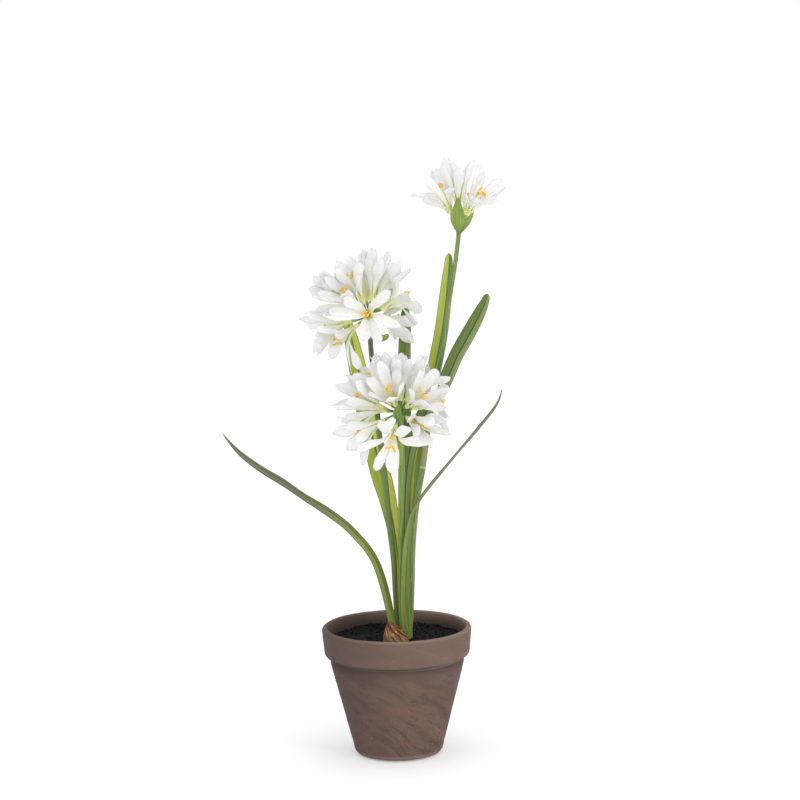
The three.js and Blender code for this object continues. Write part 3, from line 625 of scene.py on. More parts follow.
def clay_strokes(finish, turn, z, wander):
    """The brushed bands and the hairlines on the wall, unrolled by its turn about the axis."""
    round_wall = turn * WALL_UNROLLED
    level = z * 0.88 + round_wall * 0.46 + wander
    run = round_wall * 0.88 - z * 0.46
    bands = finish.streaks(level * 0.1, run * 0.013, 3.0, 5.0, 0.58, 0.3)
    cracks = finish.streaks(level * 0.3, run * 0.035, 6.0, 3.0, 0.55, 0.25)
    return bands, cracks


def clay_finish(settings):
    """Brown clay: soft darker bands, fine dark hairlines, reddish patches and a few pale specks,
    with painted shade on the left side and the inner wall and painted light on the lip, collar and
    groove.
    """
    finish = Finish("clay")
    tones = CLAY_TONES
    x, y, z = finish.parts(finish.mm)
    # The strokes run round the pot, so the wall is unrolled twice, once with its seam at the
    # back and once with it at the front, and the two are joined where neither has its seam.
    behind = y.rise(-16, 16)
    wander = finish.noise(finish.mm, 0.022, 1.0) * 26
    near = clay_strokes(finish, x.angle_to(0 - y), z, wander)
    far = clay_strokes(finish, 0 - (0 - x).angle_to(y), z, wander)
    bands, cracks = (n * (1 - behind) + f * behind for n, f in zip(near, far))
    clouds = finish.noise(finish.mm, 0.03, 4.0, 0.6)
    fine = finish.noise(finish.mm, 0.9, 4.0, 0.65)
    patch = finish.noise(finish.mm, 0.05, 3.0, 0.5, 0.8)
    red = finish.noise(finish.scaled(finish.mm, (1, 1, 1.8)), 0.055, 3.0, 0.5, 0.6)
    # The strokes and hairlines are fainter on the collar, so the body below it is darker than the
    # rim: partly painted shade.
    low = 0.3 + (COLLAR + 1 - z).rise(-2, 10) * 0.7
    hairs = cracks.line(0.52, 0.003, 0.014) * patch.rise(0.42, 0.6) * low
    pale_hairs = cracks.line(0.62, 0.002, 0.009) * patch.rise(0.5, 0.66)
    # Painted light: a lighter collar, a lighter band under the collar that undoes its shade and a
    # painted highlight along the lip; the line at the foot is lighter wear.
    lit_collar = z.rise(COLLAR + 2, COLLAR + 3)
    lit_under_collar = z.rise(COLLAR - 15, COLLAR) * (1 - z.rise(COLLAR, COLLAR + 1))
    light_and_wear = z.line(LIP, 0.2, 1.6) * 0.35 + z.line(FOOT, 0.6, 3.0) * 0.4
    light_and_wear = light_and_wear + lit_under_collar * 0.35 + lit_collar * 0.14
    # A painted highlight along the groove under the collar, brighter towards the sides.
    groove = z.line(COLLAR - 0.1, 0.2, 0.8) * (0.3 + abs(x).rise(8, 40) * 0.35)
    # Painted shade: the left side is darkened, as if lit from the right.
    side = (0 - x).rise(-10, 60) * (0.85 - z.rise(COLLAR, COLLAR + 2) * 0.15)
    specks = (1 - finish.cells(finish.mm, 0.13).rise(0.025, 0.05)) * clouds.rise(0.42, 0.56)
    # Painted shade: the inner wall is darkened, and darker still further down towards the soil.
    inner_shade = (MOUTH - (x * x + y * y) ** 0.5).rise(-0.6, 0.8) * z.rise(60, 80)
    deep_shade = inner_shade * (1 - z.rise(86, 97))
    colour = finish.coated(
        settings.clay,
        (bands.rise(0.46, 0.68) * low * 0.58, settings.stroke),
        ((1 - clouds.rise(0.3, 0.6)) * 0.25, settings.stroke),
        ((1 - bands.rise(0.3, 0.46)) * 0.4, tones["light"]),
        (red.rise(0.53, 0.7) * 0.26, tones["red"]),
        (fine.rise(0.5, 0.75) * 0.25, tones["grit"]),
        (hairs * 0.42, tones["hairline"]),
        (pale_hairs * 0.25, tones["pale_hairline"]),
        (light_and_wear, tones["light_and_wear"]),
        (groove, tones["groove"]),
        (side, tones["side"]),
        (specks * 0.6, tones["speck"]),
        (inner_shade * 0.5, tones["inner_shade"]),
        (deep_shade * 0.6, tones["deep_shade"]),
    )
    height = bands * 0.5 - hairs * 0.4 + fine * 0.35 + finish.noise(finish.mm, 0.25, 2.0) * 0.4
    rough = 0.8 + fine * 0.14 - bands.rise(0.4, 0.7) * 0.1
    return finish.surface(colour, rough, finish.bump(height, 0.35), Specular_IOR_Level=0.25)


# ---- soil ---------------------------------------------------------------------------------
SOIL_BOTTOM = 6.4
SOIL_RINGS = 46
SOIL_SECTORS = 128
SOIL_GAP = 0.55  # between the soil and the pot's wall
WALL_TOP, WALL_RADIUS, WALL_SLOPE = 97.2, 53.3, 0.245  # the pot's inner wall
CRUMBS = 1500
CRUMB_FLAT = 0.75
GOLDEN = (1 + math.sqrt(5)) / 2
LUMP_CORNERS = [
    Vector(corner)
    for a, b in ((1, GOLDEN), (-1, GOLDEN), (1, -GOLDEN), (-1, -GOLDEN))
    for corner in ((0, a, b), (a, b, 0), (b, 0, a))
]
LUMP_EDGE = 2
LUMP_FACES = [
    face for face in combinations(range(len(LUMP_CORNERS)), 3)
    if all(
        abs((LUMP_CORNERS[i] - LUMP_CORNERS[j]).length - LUMP_EDGE) < 0.01
        for i, j in combinations(face, 2)
    )
]


def wall_radius(height):
    """The pot's inner radius at a height, less the gap that the soil keeps."""
    return WALL_RADIUS - WALL_SLOPE * (WALL_TOP - height) - SOIL_GAP


def soil_height(x, y, top):
    """How high the soil is heaped at a place: rough all over, and higher in the middle and rim."""
    spot = Vector((x, y, 3.0))
    r = math.hypot(x, y)
    height = 0.9 * noise.noise(spot * 0.06) + 0.55 * noise.noise(spot * 0.19)
    height += 0.42 * noise.noise(spot * 0.55)
    height += 0.9 * smooth((r - 42) / 8) * (0.6 + noise.noise(spot * 0.11))
    height += 0.7 * math.exp(-((math.hypot(x - 4, y - 2) / 17) ** 2))
    return top + height


def on_soil(r, a, top, lift=0.0):
    """The place on the soil at a radius and an angle."""
    x, y = r * math.cos(a), r * math.sin(a)
    return Vector((x, y, soil_height(x, y, top) + lift))


def lump(build, middle, size, seed):
    """One crumb: a rough ball of twelve corners."""
    spin = Quaternion((draw(seed), draw(seed + 1), draw(seed + 2)), 3 * draw(seed + 3))
    places = []
    for i, corner in enumerate(LUMP_CORNERS):
        way = spin @ corner.normalized()
        way.z *= CRUMB_FLAT
        places.append(middle + way * size * (1 + 0.32 * draw(seed * 3.1 + i)))
    ring = build.ring(places, [(draw(seed + 7), size, 1)] * len(places))
    for face in LUMP_FACES:
        build.face(tuple(ring[i] for i in face))


def build_soil(settings):
    """The soil: a plug that fills the pot, heaped and crumbled on top."""
    top = settings.soil_level / MM
    rim = wall_radius(top)
    build = Build()
    rings = []
    for i in range(1, SOIL_RINGS + 1):
        r = rim * (1 - (1 - i / SOIL_RINGS) ** 1.15)
        places = [on_soil(r, a, top) for a in circle(SOIL_SECTORS)]
        rings.append(build.ring(places, [(0, r, 0)] * SOIL_SECTORS))
    build.fan(build.point(on_soil(0, 0, top)), rings[0])
    for height, inset in ((60, 0), (30, 0), (SOIL_BOTTOM + 1.5, 0), (SOIL_BOTTOM, 2)):
        r = wall_radius(height) - inset
        places = [polar(r, a, height) for a in circle(SOIL_SECTORS)]
        rings.append(build.ring(places, [(0, r, 0)] * SOIL_SECTORS))
    build.tube(rings)
    build.cap(rings[-1])
    for seed in range(CRUMBS):
        r = (rim - 0.4) * math.sqrt(abs(draw(seed * 5.3 + 0.7)))
        a = math.pi * draw(seed * 3.7 + 2)
        size = 0.35 + 0.9 * abs(draw(seed * 2.9 + 5)) ** 2.2
        if seed % 3 == 0:  # a third of the crumbs lie along the wall
            r = rim - 0.3 - size - 2.4 * abs(draw(seed * 1.7)) ** 2
        r = min(r, rim - size * 1.2)
        lump(build, on_soil(r, a, top, 0.25 * size), size, seed)
    return build.piece("potting_soil", [soil_finish(settings)], "soil")


def soil_finish(settings):
    """Near-black earth: grey-brown grit, fine pale specks that are painted glints, and a faint damp
    gloss.
    """
    finish = Finish("earth")
    coarse = finish.noise(finish.mm, 0.5, 5.0, 0.7)
    grit = finish.cells(finish.mm, 1.1)
    colour = finish.coated(
        settings.soil,
        (coarse.rise(0.35, 0.7), srgb(30, 28, 28)),
        (finish.tone.rise(0.5, 1.0) * finish.across.rise(0.5, 1.0) * 0.6, srgb(64, 60, 58)),
        # The pale specks are painted glints.
        ((1 - grit.rise(0.08, 0.2)) * coarse.rise(0.42, 0.6) * 0.8, srgb(128, 124, 124)),
    )
    height = coarse * 0.8 + grit * 0.5
    rough = 0.78 + coarse * 0.2
    return finish.surface(colour, rough, finish.bump(height, 0.9), Specular_IOR_Level=0.1)


# ---- bulb ---------------------------------------------------------------------------------
BULB_SIDES = 180
BULB_STEPS = 84
BULB_FLAT = 0.84
BULB_TIP = (-5.4, -12, 104.4, 0.25)
FOLDS = 10
FOLD_SWEEP = 0.085  # how far a fold goes round for each millimetre up, in radians
FOLD_HEIGHT = 1.25
SKIN_LEAST = 0.15  # the bulb's radius never falls below this
SOIL_TUCK = 0.9  # how far the bulb draws in where it meets the soil
# Each scale: where its middle is, in radians round the bulb, how high it reaches and its lift.
SCALES = [
    (-0.5, 97.5, 0.75), (-1.15, 100.2, 0.5), (-1.9, 102.4, 0.25), (-2.6, 98.4, 0.4),
    (0.5, 99.5, 0.5), (1.7, 101.0, 0.3), (2.9, 99.0, 0.45),
]
SCALE_CELLS = 30
SCALE_FOOT = 85.5
STRAWS = 30
STRAW_STEPS = 8
# Round a straw: its place across, from -1 to 1, and its height over the soil.
STRAW_SECTION = [(-1, 0.06), (0, 0.12), (1, 0.06), (1, -0.06), (0, -0.04), (-1, -0.06)]


def bulb_section(height):
    """The middle and half width of the bulb at a height."""
    rows = [*BULB_ROWS, BULB_TIP]
    height = min(max(height, rows[0][2]), rows[-1][2])
    i = max(k for k in range(len(rows) - 1) if rows[k][2] <= height)
    t = (height - rows[i][2]) / (rows[i + 1][2] - rows[i][2])
    x, y, radius = (between([row[c] for row in rows], i, t) for c in (0, 1, 3))
    return Vector((x, y, height)), radius


def fold(angle, height, shift=0.0):
    """The skins' folds, which sweep from the tip down to the right: 0 in a gap, 1 on a ridge."""
    c, s = math.cos(angle), math.sin(angle)
    wander = 1.7 * noise.noise(Vector((1.7 * c, 1.7 * s, height * 0.17 + shift)))
    wander += 0.7 * noise.noise(Vector((3.4 * c, 3.4 * s, height * 0.4 + shift)))
    sweep = FOLDS / 2 * (angle + FOLD_SWEEP * (height - 88)) + wander + shift
    return abs(math.sin(sweep)) ** 0.75


def on_bulb(height, angle, lift=0.0, shift=0.0):
    """A point of the folded skin, and how high its fold stands there."""
    middle, radius = bulb_section(height)
    c, s = math.cos(angle), math.sin(angle)
    ridge = fold(angle, height, shift)
    crumple = 0.4 * noise.noise(Vector((3 * c, 3 * s, height * 0.3 + shift)))
    tuck = SOIL_TUCK * smooth((91.5 - height) / 4)
    stand = FOLD_HEIGHT * (ridge - 0.75) * smooth((BULB_TIP[2] + 1 - height) / 6)
    r = max(radius + (stand + crumple + lift - tuck) * smooth(radius / 3), SKIN_LEAST)
    return middle + Vector((r * c, BULB_FLAT * r * s, 0)), ridge


def build_bulb(settings):
    """The bulb: a folded body under overlapping papery scales, with a straw skirt."""
    build = Build()
    rings = []
    low, high = BULB_ROWS[0][2], BULB_TIP[2]
    angles = circle(BULB_SIDES)
    for i in range(BULB_STEPS):
        height = low + (high - low) * i / (BULB_STEPS - 1)
        places, ridges = zip(*(on_bulb(height, a) for a in angles))
        grains = [(a, height, ridge) for a, ridge in zip(angles, ridges)]
        rings.append(build.ring(places, grains))
    build.rod(rings)
    for n in range(len(SCALES)):
        bulb_scale(build, n)
    for n in range(STRAWS):
        straw(build, n, settings.soil_level / MM)
    return build.piece("bulb_scales", [bulb_finish(settings)], "bulb")


def bulb_scale(build, n):
    """A papery scale laid over the bulb, torn at its upper edge and a little lifted there."""
    middle, head, lift = SCALES[n]
    half = 0.62 + 0.16 * draw(n + 50)
    foot = SCALE_FOOT + 1.2 * draw(n + 60)
    shift = 0.7 * n + 0.4
    rings = []
    for i in range(SCALE_CELLS + 1):
        up = i / SCALE_CELLS
        front, back, grains = [], [], []
        for j in range(SCALE_CELLS + 1):
            u = 2 * j / SCALE_CELLS - 1
            torn = 0.9 * noise.noise(Vector((u * 3.1, n * 3.3, 0.5)))
            torn += 0.4 * noise.noise(Vector((u * 11, n, 2.5)))
            tip = head - (head - foot) * 0.5 * abs(u) ** 2 + torn
            height = foot + (tip - foot) * up
            angle = middle + u * half * (1 - 0.3 * up) - FOLD_SWEEP * (height - 91) * 0.8
            flare = 0.25 * smooth(up * 2 - 1) * (0.5 + noise.noise(Vector((u * 3, n, 7))))
            flare += lift - 0.45 * abs(u) ** 3
            outer, ridge = on_bulb(height, angle, flare + 0.16, shift)
            inner, _ = on_bulb(height, angle, flare - 0.12, shift)
            front.append(outer)
            back.append(inner)
            grains.append((angle + 0.37 * n, height, ridge * (1 - 0.5 * abs(u) ** 4)))
        rings.append(build.ring([*front, *reversed(back)], [*grains, *reversed(grains)]))
    build.thin_sheet(rings)


def straw(build, n, top):
    """A flat ragged strip of the skirt, which leaves the bulb's foot and lies on the soil."""
    angle = 2 * math.pi * n / STRAWS + 0.2 * draw(n + 11)
    long = 3.4 + 1.8 * draw(n + 21)
    wide = 1.3 + 0.6 * draw(n + 31)
    reach, _ = on_bulb(89.8, angle, -0.1)
    out = polar(1, angle)
    side = Vector((-out.y, out.x, 0))
    rings = []
    for i in range(STRAW_STEPS + 1):
        t = i / STRAW_STEPS
        place = reach + out * (0.2 + 0.5 * long * t) + side * (1.4 * draw(n + 41) * t * t)
        ground = soil_height(place.x, place.y, top) + 0.25
        place.z = max(ground, 91.2 + 1.2 * draw(n + 51) - 3.8 * t)
        half = wide * (0.5 - 0.38 * t * t) * (1 + 0.15 * draw(n * 7 + i))
        places = [
            place + side * half * u + Vector((0, 0, 0.18 * (1 - u * u) + w))
            for u, w in STRAW_SECTION
        ]
        grains = [(angle * 3 + u, 70 + 5 * t, 0.8) for u, _ in STRAW_SECTION]
        rings.append(build.ring(places, grains))
    build.thin_sheet(rings)


def bulb_finish(settings):
    """Dry skins: tan on the ridges with a painted highlight on some, dark painted shade in the
    gaps, redder at the tip, straw at the skirt.
    """
    finish = Finish("bulb_paper")
    u, along, ridge = finish.across, finish.along, finish.tone
    streak = finish.streaks(u * 9, along * 0.2, 2.0, 5.0, 0.68, 0.5)
    fine = finish.streaks(u * 24, along * 0.3, 5.0, 3.0, 0.6)
    patch = finish.noise(finish.mm, 0.3, 3.0)
    low = (1 - along.rise(87.5, 93.5)) * (0.25 + patch * 0.7) * ridge.rise(0.3, 0.8)
    # Painted shade darkens the gaps between the folds, and a painted highlight lightens some
    # ridges.
    colour = finish.coated(
        settings.painted_gap_shade,
        (ridge.rise(0.4, 0.92), settings.scale),
        (ridge.rise(0.8, 1.0) * patch.rise(0.35, 0.6) * 0.75, srgb(200, 164, 122)),
        (streak.rise(0.5, 0.72) * 0.4, srgb(92, 56, 36)),
        (fine.rise(0.52, 0.74) * 0.5, srgb(196, 156, 112)),
        (low, srgb(174, 154, 104)),
        (along.rise(98.5, 103) * 0.6, srgb(104, 56, 40)),
    )
    bump = finish.bump(streak * 0.6 + fine * 0.5, 0.4)
    return finish.surface(colour, 0.55 + patch * 0.3, bump, Specular_IOR_Level=0.35)


# ---- leaves -------------------------------------------------------------------------------
LEAF_COLUMNS = 18
LEAF_WAVE = 0.3
ROW_STEP = 2.4  # between a strap's finer rows
TIP_ROWS = 7  # at least so many in the last stretch of a strap
SLIMMEST = 0.35  # a strap's width where it ends
# Tones of each leaf: left half, right half, how dark its crease is, and how far grey shows. One
# half is painted lit and the other in painted shade, and the dark crease is painted shade.
LEAF_TONES = {
    "leaf_left_trailing": (srgb(124, 141, 60), srgb(106, 124, 46), 0.9, 0.85),
    "leaf_right_front": (srgb(114, 138, 50), srgb(96, 120, 40), 0.6, 0.7),
    "leaf_back_right": (srgb(196, 206, 84), srgb(104, 134, 62), 0.3, 0.1),
    "leaf_right_arching": (srgb(90, 114, 40), srgb(118, 138, 74), 0.95, 0.1),
    "leaf_upright": (srgb(92, 120, 42), srgb(104, 130, 50), 0.4, 0.1),
    "leaf_left_upright": (srgb(172, 188, 62), srgb(206, 214, 84), 0.8, 0.05),
}


def blade_rings(build, strap, thickness, columns, arch, wave):
    """The rings of a creased or arched strap, finer than its rows and round at its tip."""
    crease, rows = strap
    route = Route(rows)
    widths = [row[3] for row in rows]
    turns = [row[4] for row in rows]
    rings = []
    run = 0.0
    last = len(rows) - 2
    for i in range(len(rows) - 1):
        steps = max(2, round(route.length(i) / ROW_STEP))
        if i == last:
            steps = max(steps, TIP_ROWS)
        for s in range(steps + 1 if i == last else steps):
            t = s / steps
            if i == last:
                t = min(1 - (1 - t) ** 1.6, 0.995)
            middle, along = route.at(i, t)
            face = Quaternion(along, math.radians(between(turns, i, t))) @ square_to(along)[0]
            side = along.cross(face).normalized()
            width = between(widths, i, t)
            if i == last:
                blunt = route.length(i) < 1.4 * widths[i]
                width = widths[i] * ((1 - t * t) ** 0.5 if blunt else (1 - t) ** 0.72)
            width = max(width, SLIMMEST)
            where = run + t * route.length(i)
            slim = min(1, width / 4)
            front, back, grains = [], [], []
            for j in range(columns + 1):
                u = 2 * j / columns - 1
                u = math.copysign(abs(u) ** 0.9, u)
                lift = crease * width * ((1 - u * u) if arch else (1 - math.sqrt(u * u + 0.006)))
                swell = math.sin(where * 0.11 + 2.1 * (u > 0) + len(rows))
                lift += wave * slim * abs(u) ** 1.5 * swell
                lift += 0.05 * slim * math.cos(u * 15.7)
                thick = thickness * (0.5 - 0.33 * u * u) * min(1, 0.35 + width / 6)
                edge = middle + side * (width / 2 * u)
                front.append(edge + face * (lift + thick))
                back.append(edge + face * (lift - thick))
                grains.append((u, where, 0))
            rings.append(build.ring([*front, *reversed(back)], [*grains, *reversed(grains)]))
        run += route.length(i)
    return rings


def build_leaf(settings, name):
    """One strap leaf with its crease, fine veins and rounded tip."""
    build = Build()
    thickness = settings.leaf_thickness / MM
    build.thin_sheet(blade_rings(build, LEAVES[name], thickness, LEAF_COLUMNS, False, LEAF_WAVE))
    place = name.removeprefix("leaf_")
    return build.piece("strap_" + place, [leaf_finish(name, place)], name)


def leaf_finish(name, place):
    """Waxy leaf green: each half in its own tone, one painted lit and one in painted shade, fine
    veins, streaks of painted sheen, a crease darkened with painted shade and worn blotches.
    """
    left, right, dark, grey = LEAF_TONES[name]
    finish = Finish("leaf_skin_" + place)
    u, along = finish.across, finish.along
    drift = finish.streaks(u * 1.2, along * 0.02, 1.0)
    veins = finish.streaks(u * 13, along * 0.03, 5.0, 3.0, 0.6)
    sheen = finish.streaks(u * 3.4, along * 0.018, 9.0, 3.0, 0.5)
    blotch = finish.noise(finish.mm, 0.09, 4.0, 0.6)
    shade = finish.mix(u.rise(-0.1, 0.1), *(tuple(c * 0.6 for c in tone) for tone in (left, right)))
    crease = (u + (drift - 0.5) * 0.08).line(0.05, 0.04, 0.15)
    edge = (abs(u) + (blotch - 0.5) * 0.1).rise(0.84, 0.98)
    # Painted light: the halves are a lit and a shaded copy of one green, the sheen streaks are
    # painted highlight with painted shade between them, and the crease is darkened with painted
    # shade.
    colour = finish.coated(
        left,
        ((u + (drift - 0.5) * 0.3).rise(-0.12, 0.16), right),
        (veins.rise(0.38, 0.62) * 0.3, shade),
        (sheen.rise(0.52, 0.7) * 0.34, srgb(168, 184, 104)),
        (sheen.rise(0.46, 0.3) * 0.3, shade),
        (blotch.rise(0.5, 0.72) * 0.2, srgb(168, 176, 92)),
        (along.rise(80, 180) * grey, srgb(98, 104, 80)),
        (crease * dark * along.rise(20, 70), srgb(40, 54, 24)),
        (edge * 0.6, srgb(60, 70, 40)),
        ((1 - along.rise(14, 46)) * 0.4, srgb(142, 162, 84)),
    )
    bump = finish.bump(veins * 0.7 + blotch * 0.3, 0.22)
    return finish.surface(colour, 0.44 + blotch * 0.2, bump, Specular_IOR_Level=0.42)


# ---- stems, pedicels and bracts -----------------------------------------------------------
STEM_SIDES = 20
STEM_FOOT = 2.4  # radius of a stem's foot in the tables
STEM_STEP = 3  # between a stem's finer rings
STEM_TONES = {
    "top": (srgb(88, 116, 54), srgb(130, 152, 88)),
    "left": (srgb(72, 92, 66), srgb(104, 122, 86)),
    "front": (srgb(90, 118, 42), srgb(127, 152, 68)),
}
DRY_FROM, DRY_TO = 150, 182  # along the top head's stem, where its skin is dry and brown
BRACT_THICKNESS = 0.8
BRACT_COLUMNS = 16
BRACT_WAVE = 0.25
PEDICEL_SIDES = 10
PEDICEL_STEPS = 9
THREADS = 7
THREAD_STEPS = 7
GREEN, BRACT, PEDICEL = 0, 1, 2  # the finishes of a stem's piece


def ribbed(a):
    """A stem's radius round it, as a share: five soft ribs and nine finer ones."""
    return 1 + 0.022 * math.cos(5 * a) + 0.012 * math.cos(9 * a + 1)


def build_stem(settings, head):
    """A flower stem with the pedicels of its florets, its bracts and the threads among them."""
    table = HEADS[head]
    rows = table["stem"]
    build = Build()
    route = Route(rows)
    radii = [row[3] for row in rows]
    thick = settings.stem_radius / MM / STEM_FOOT
    rings = []
    run = 0.0
    for i in range(len(rows) - 1):
        steps = max(2, round(route.length(i) / STEM_STEP))
        for s in range(steps + 1 if i + 2 == len(rows) else steps):
            middle, along = route.at(i, s / steps)
            face, side = square_to(along)
            where = run + route.length(i) * s / steps
            radius = between(radii, i, s / steps) * thick
            if head == "top" and DRY_FROM < where < DRY_TO:
                radius *= 0.95 + 0.03 * noise.noise(Vector((0, 0, where * 0.5)))
            rings.append(round_ring(
                build, middle, side, face, radius, STEM_SIDES, lambda a: (a, where, 0), ribbed
            ))
        run += route.length(i)
    build.rod(rings, GREEN)
    for bract in table["bracts"]:
        sheet = blade_rings(build, bract, BRACT_THICKNESS, BRACT_COLUMNS, True, BRACT_WAVE)
        build.thin_sheet(sheet, BRACT)
    parting = Vector(rows[-1][:3])
    for n, floret in enumerate(florets_of(head)):
        pedicel(build, parting, floret, n)
    for n in range(THREADS):
        umbel_thread(build, parting, head, n)
    finishes = [stem_finish(head), bract_finish(), pedicel_finish()]
    return build.piece("flower_stem_" + head, finishes, "stem_" + head)


def pedicel(build, parting, floret, n):
    """The short stalk of a floret, thicker at both ends."""
    side = square_to(floret.axis)[1]
    start, end = parting + floret.axis * 0.4, floret.base + floret.axis * 0.25
    points = bowed(start, end, side * (0.5 * draw(n + 71)), PEDICEL_STEPS)
    shares = [i / PEDICEL_STEPS for i in range(PEDICEL_STEPS + 1)]
    radii = [0.92 - 0.28 * math.sin(math.pi * t) + 0.38 * smooth(t * 2 - 1) for t in shares]
    thread(build, points, radii, PEDICEL_SIDES, PEDICEL, 0.5)


def umbel_thread(build, parting, head, n):
    """A thin pale thread among the pedicels."""
    seed = 17 * n + len(head)
    way = Vector((draw(seed), draw(seed + 1) - 0.5, 0.6 * draw(seed + 2) + 0.3)).normalized()
    long = 7 + 3 * draw(seed + 3)
    bow = Vector((0, 0, 0.9 * draw(seed + 4)))
    points = bowed(parting + way, parting + way * long, bow, THREAD_STEPS)
    thread(build, points, [0.3 - 0.03 * i for i in range(THREAD_STEPS + 1)], 5, BRACT, 0.2)


def stem_finish(head):
    """Smooth stem green with long streaks; the top head's has a dry tan stretch."""
    finish = Finish("stem_skin_" + head)
    along = finish.along
    streak = finish.streaks(finish.across * 3.2, along * 0.03, 2.0, 4.0, 0.6)
    blotch = finish.noise(finish.mm, 0.14, 3.0)
    coats = [(blotch.rise(0.52, 0.74) * 0.3, srgb(150, 160, 104))]
    if head == "top":
        ragged = along + (streak - 0.5) * 9
        dry = ragged.rise(DRY_FROM - 1, DRY_FROM + 3) * (1 - ragged.rise(DRY_TO - 6, DRY_TO))
        skin = finish.mix(streak, srgb(134, 120, 76), srgb(176, 170, 120))
        ring = along.line(DRY_FROM - 1, 0.5, 1.6)
        coats += [(dry * 0.8, skin), (ring * 0.7, srgb(196, 190, 150))]
    if head == "left":
        middle = finish.mix(streak, srgb(78, 106, 48), srgb(118, 144, 76))
        foot = finish.mix(streak, srgb(84, 84, 44), srgb(116, 122, 62))
        coats += [((1 - along.rise(150, 215)) * 0.85, middle)]
        coats += [((1 - along.rise(50, 130)) * 0.7, foot)]
    colour = finish.coated(finish.mix(streak.rise(0.34, 0.66), *STEM_TONES[head]), *coats)
    bump = finish.bump(streak * 0.8 + blotch * 0.3, 0.2)
    return finish.surface(colour, 0.46 + blotch * 0.2, bump, Specular_IOR_Level=0.4)


def bract_finish():
    """Fresh yellow-green bract, deeper at its foot, with fine veins along it."""
    finish = Finish("bract_skin")
    u, along = finish.across, finish.along
    veins = finish.streaks(u * 9, along * 0.08, 4.0, 3.0, 0.6)
    blotch = finish.noise(finish.mm, 0.2, 3.0)
    colour = finish.coated(
        srgb(106, 134, 52),
        (veins.rise(0.35, 0.65), srgb(142, 164, 74)),
        ((1 - along.rise(1, 9)) * 0.6, srgb(84, 116, 48)),
        (abs(u).rise(0.7, 1.0) * 0.35, srgb(176, 190, 104)),
    )
    bump = finish.bump(veins * 0.8 + blotch * 0.3, 0.2)
    return finish.surface(colour, 0.48 + blotch * 0.15, bump, Specular_IOR_Level=0.4)


def pedicel_finish():
    """Pedicel green that pales to the floret."""
    finish = Finish("pedicel_skin")
    streak = finish.streaks(finish.tone * 2, finish.along * 0.2, 1.0)
    colour = finish.coated(
        srgb(74, 112, 46),
        (streak.rise(0.3, 0.7), srgb(112, 148, 66)),
        (finish.along.rise(6, 13) * 0.7, srgb(188, 202, 132)),
    )
    bump = finish.bump(streak, 0.15)
    return finish.surface(colour, 0.5 + streak * 0.1, bump, Specular_IOR_Level=0.38)


# ---- florets ------------------------------------------------------------------------------
FLORET_LENGTH = 40
TUBE_SLOPE = 14  # of the tube's wall, in degrees
FLARE_FROM, FLARE_OVER = 0.2, 0.4  # where a petal leaves that slope, as shares of its length
PETALS = 6
PETAL_FOOT = 0.6  # how far from the axis a petal starts
WHORL_OFFSET = 0.3  # three petals stand this far out, and the other three this far in
TIP_STEPS = 40
TIP_MATCH = 0.05  # how near a petal's tip is to a corner of the frame's own petal, to be that petal
PETAL_COLUMNS = 12
PETAL_STEPS = 80
PETAL_ROWS_AT = {11, *range(14, 62, 4), 61, 64, 66, 68, 70, 72, *range(74, 81)}
CLAW = 0.13  # the share of its length at which a petal is narrowest
ROUNDED = 0.78  # the share from which its end is rounded
PETAL_WIDTHS = [(CLAW, 1.6), (0.25, 2.4), (0.4, 4.9), (0.62, 8.0), (ROUNDED, 8.8)]
# Bends that a petal of the frame may have: degrees round the floret, degrees outwards, length.
DIRECTIONS = [(1, 0), (-1, 0), (0, -1), (0, 1), (1, -1), (-1, -1), (1, 1), (-1, 1)]
BENDS = [
    bend for length in (1, 0.85, 0.7, 0.58)
    for bend in [(0, 0, length)]
    + [(step * r, step * a, length) for step in (7, 14, 21, 28) for r, a in DIRECTIONS]
]
SATIN, FILAMENT, GOLD = 0, 1, 2  # the finishes of a floret's piece
INNER_TONE = 3  # added to the tone of a floret's inner surfaces, so that its throat can be coloured


class Floret:
    """A floret's place: its axis, where its tube starts, and how its petals stand."""

    def __init__(self, head, row, number):
        name, bearing, forward, pedicel_length, self.roll, self.opening, *bends = row
        self.name = f"floret_{head}_{name}"
        self.number = number
        b, f = math.radians(bearing), math.radians(forward)
        self.axis = Vector((math.cos(f) * math.cos(b), -math.sin(f), math.cos(f) * math.sin(b)))
        self.base = Vector(HEADS[head]["stem"][-1][:3]) + self.axis * pedicel_length
        self.turn = UP.rotation_difference(self.axis)
        if bends:
            self.swing, self.lean = bends
        else:
            self.swing = [7 * draw(31 * number + k) for k in range(PETALS)]
            self.lean = [8 * draw(57 * number + k) for k in range(PETALS)]

    def out(self, round_):
        """The way out from the axis at an angle round it, in degrees."""
        return self.turn @ polar(1, math.radians(round_))

    def at(self, across, round_, along):
        return self.base + self.out(round_) * across + self.axis * along

    def round_of(self, k, bend, share):
        return self.roll + 60 * k + (self.swing[k] + bend[0]) * smooth(share / 0.8)

    def opening_of(self, k, bend):
        return self.opening + self.lean[k] + bend[1]

    def tip(self, k, bend):
        """Where the frame's own petal ends, with a bend."""
        across, along = PETAL_FOOT, 0.0
        for i in range(TIP_STEPS):
            slope = math.radians(petal_slope((i + 0.5) / TIP_STEPS, self.opening_of(k, bend)))
            across += math.sin(slope) * FLORET_LENGTH * bend[2] / TIP_STEPS
            along += math.cos(slope) * FLORET_LENGTH * bend[2] / TIP_STEPS
        return self.at(across + whorl(k), self.round_of(k, bend, 1), along)


def florets_of(head):
    first = 20 * list(HEADS).index(head)
    return [Floret(head, row, first + k) for k, row in enumerate(HEADS[head]["florets"])]


def whorl(k):
    """How far out petal k stands in its whorl."""
    return WHORL_OFFSET if k % 2 else -WHORL_OFFSET


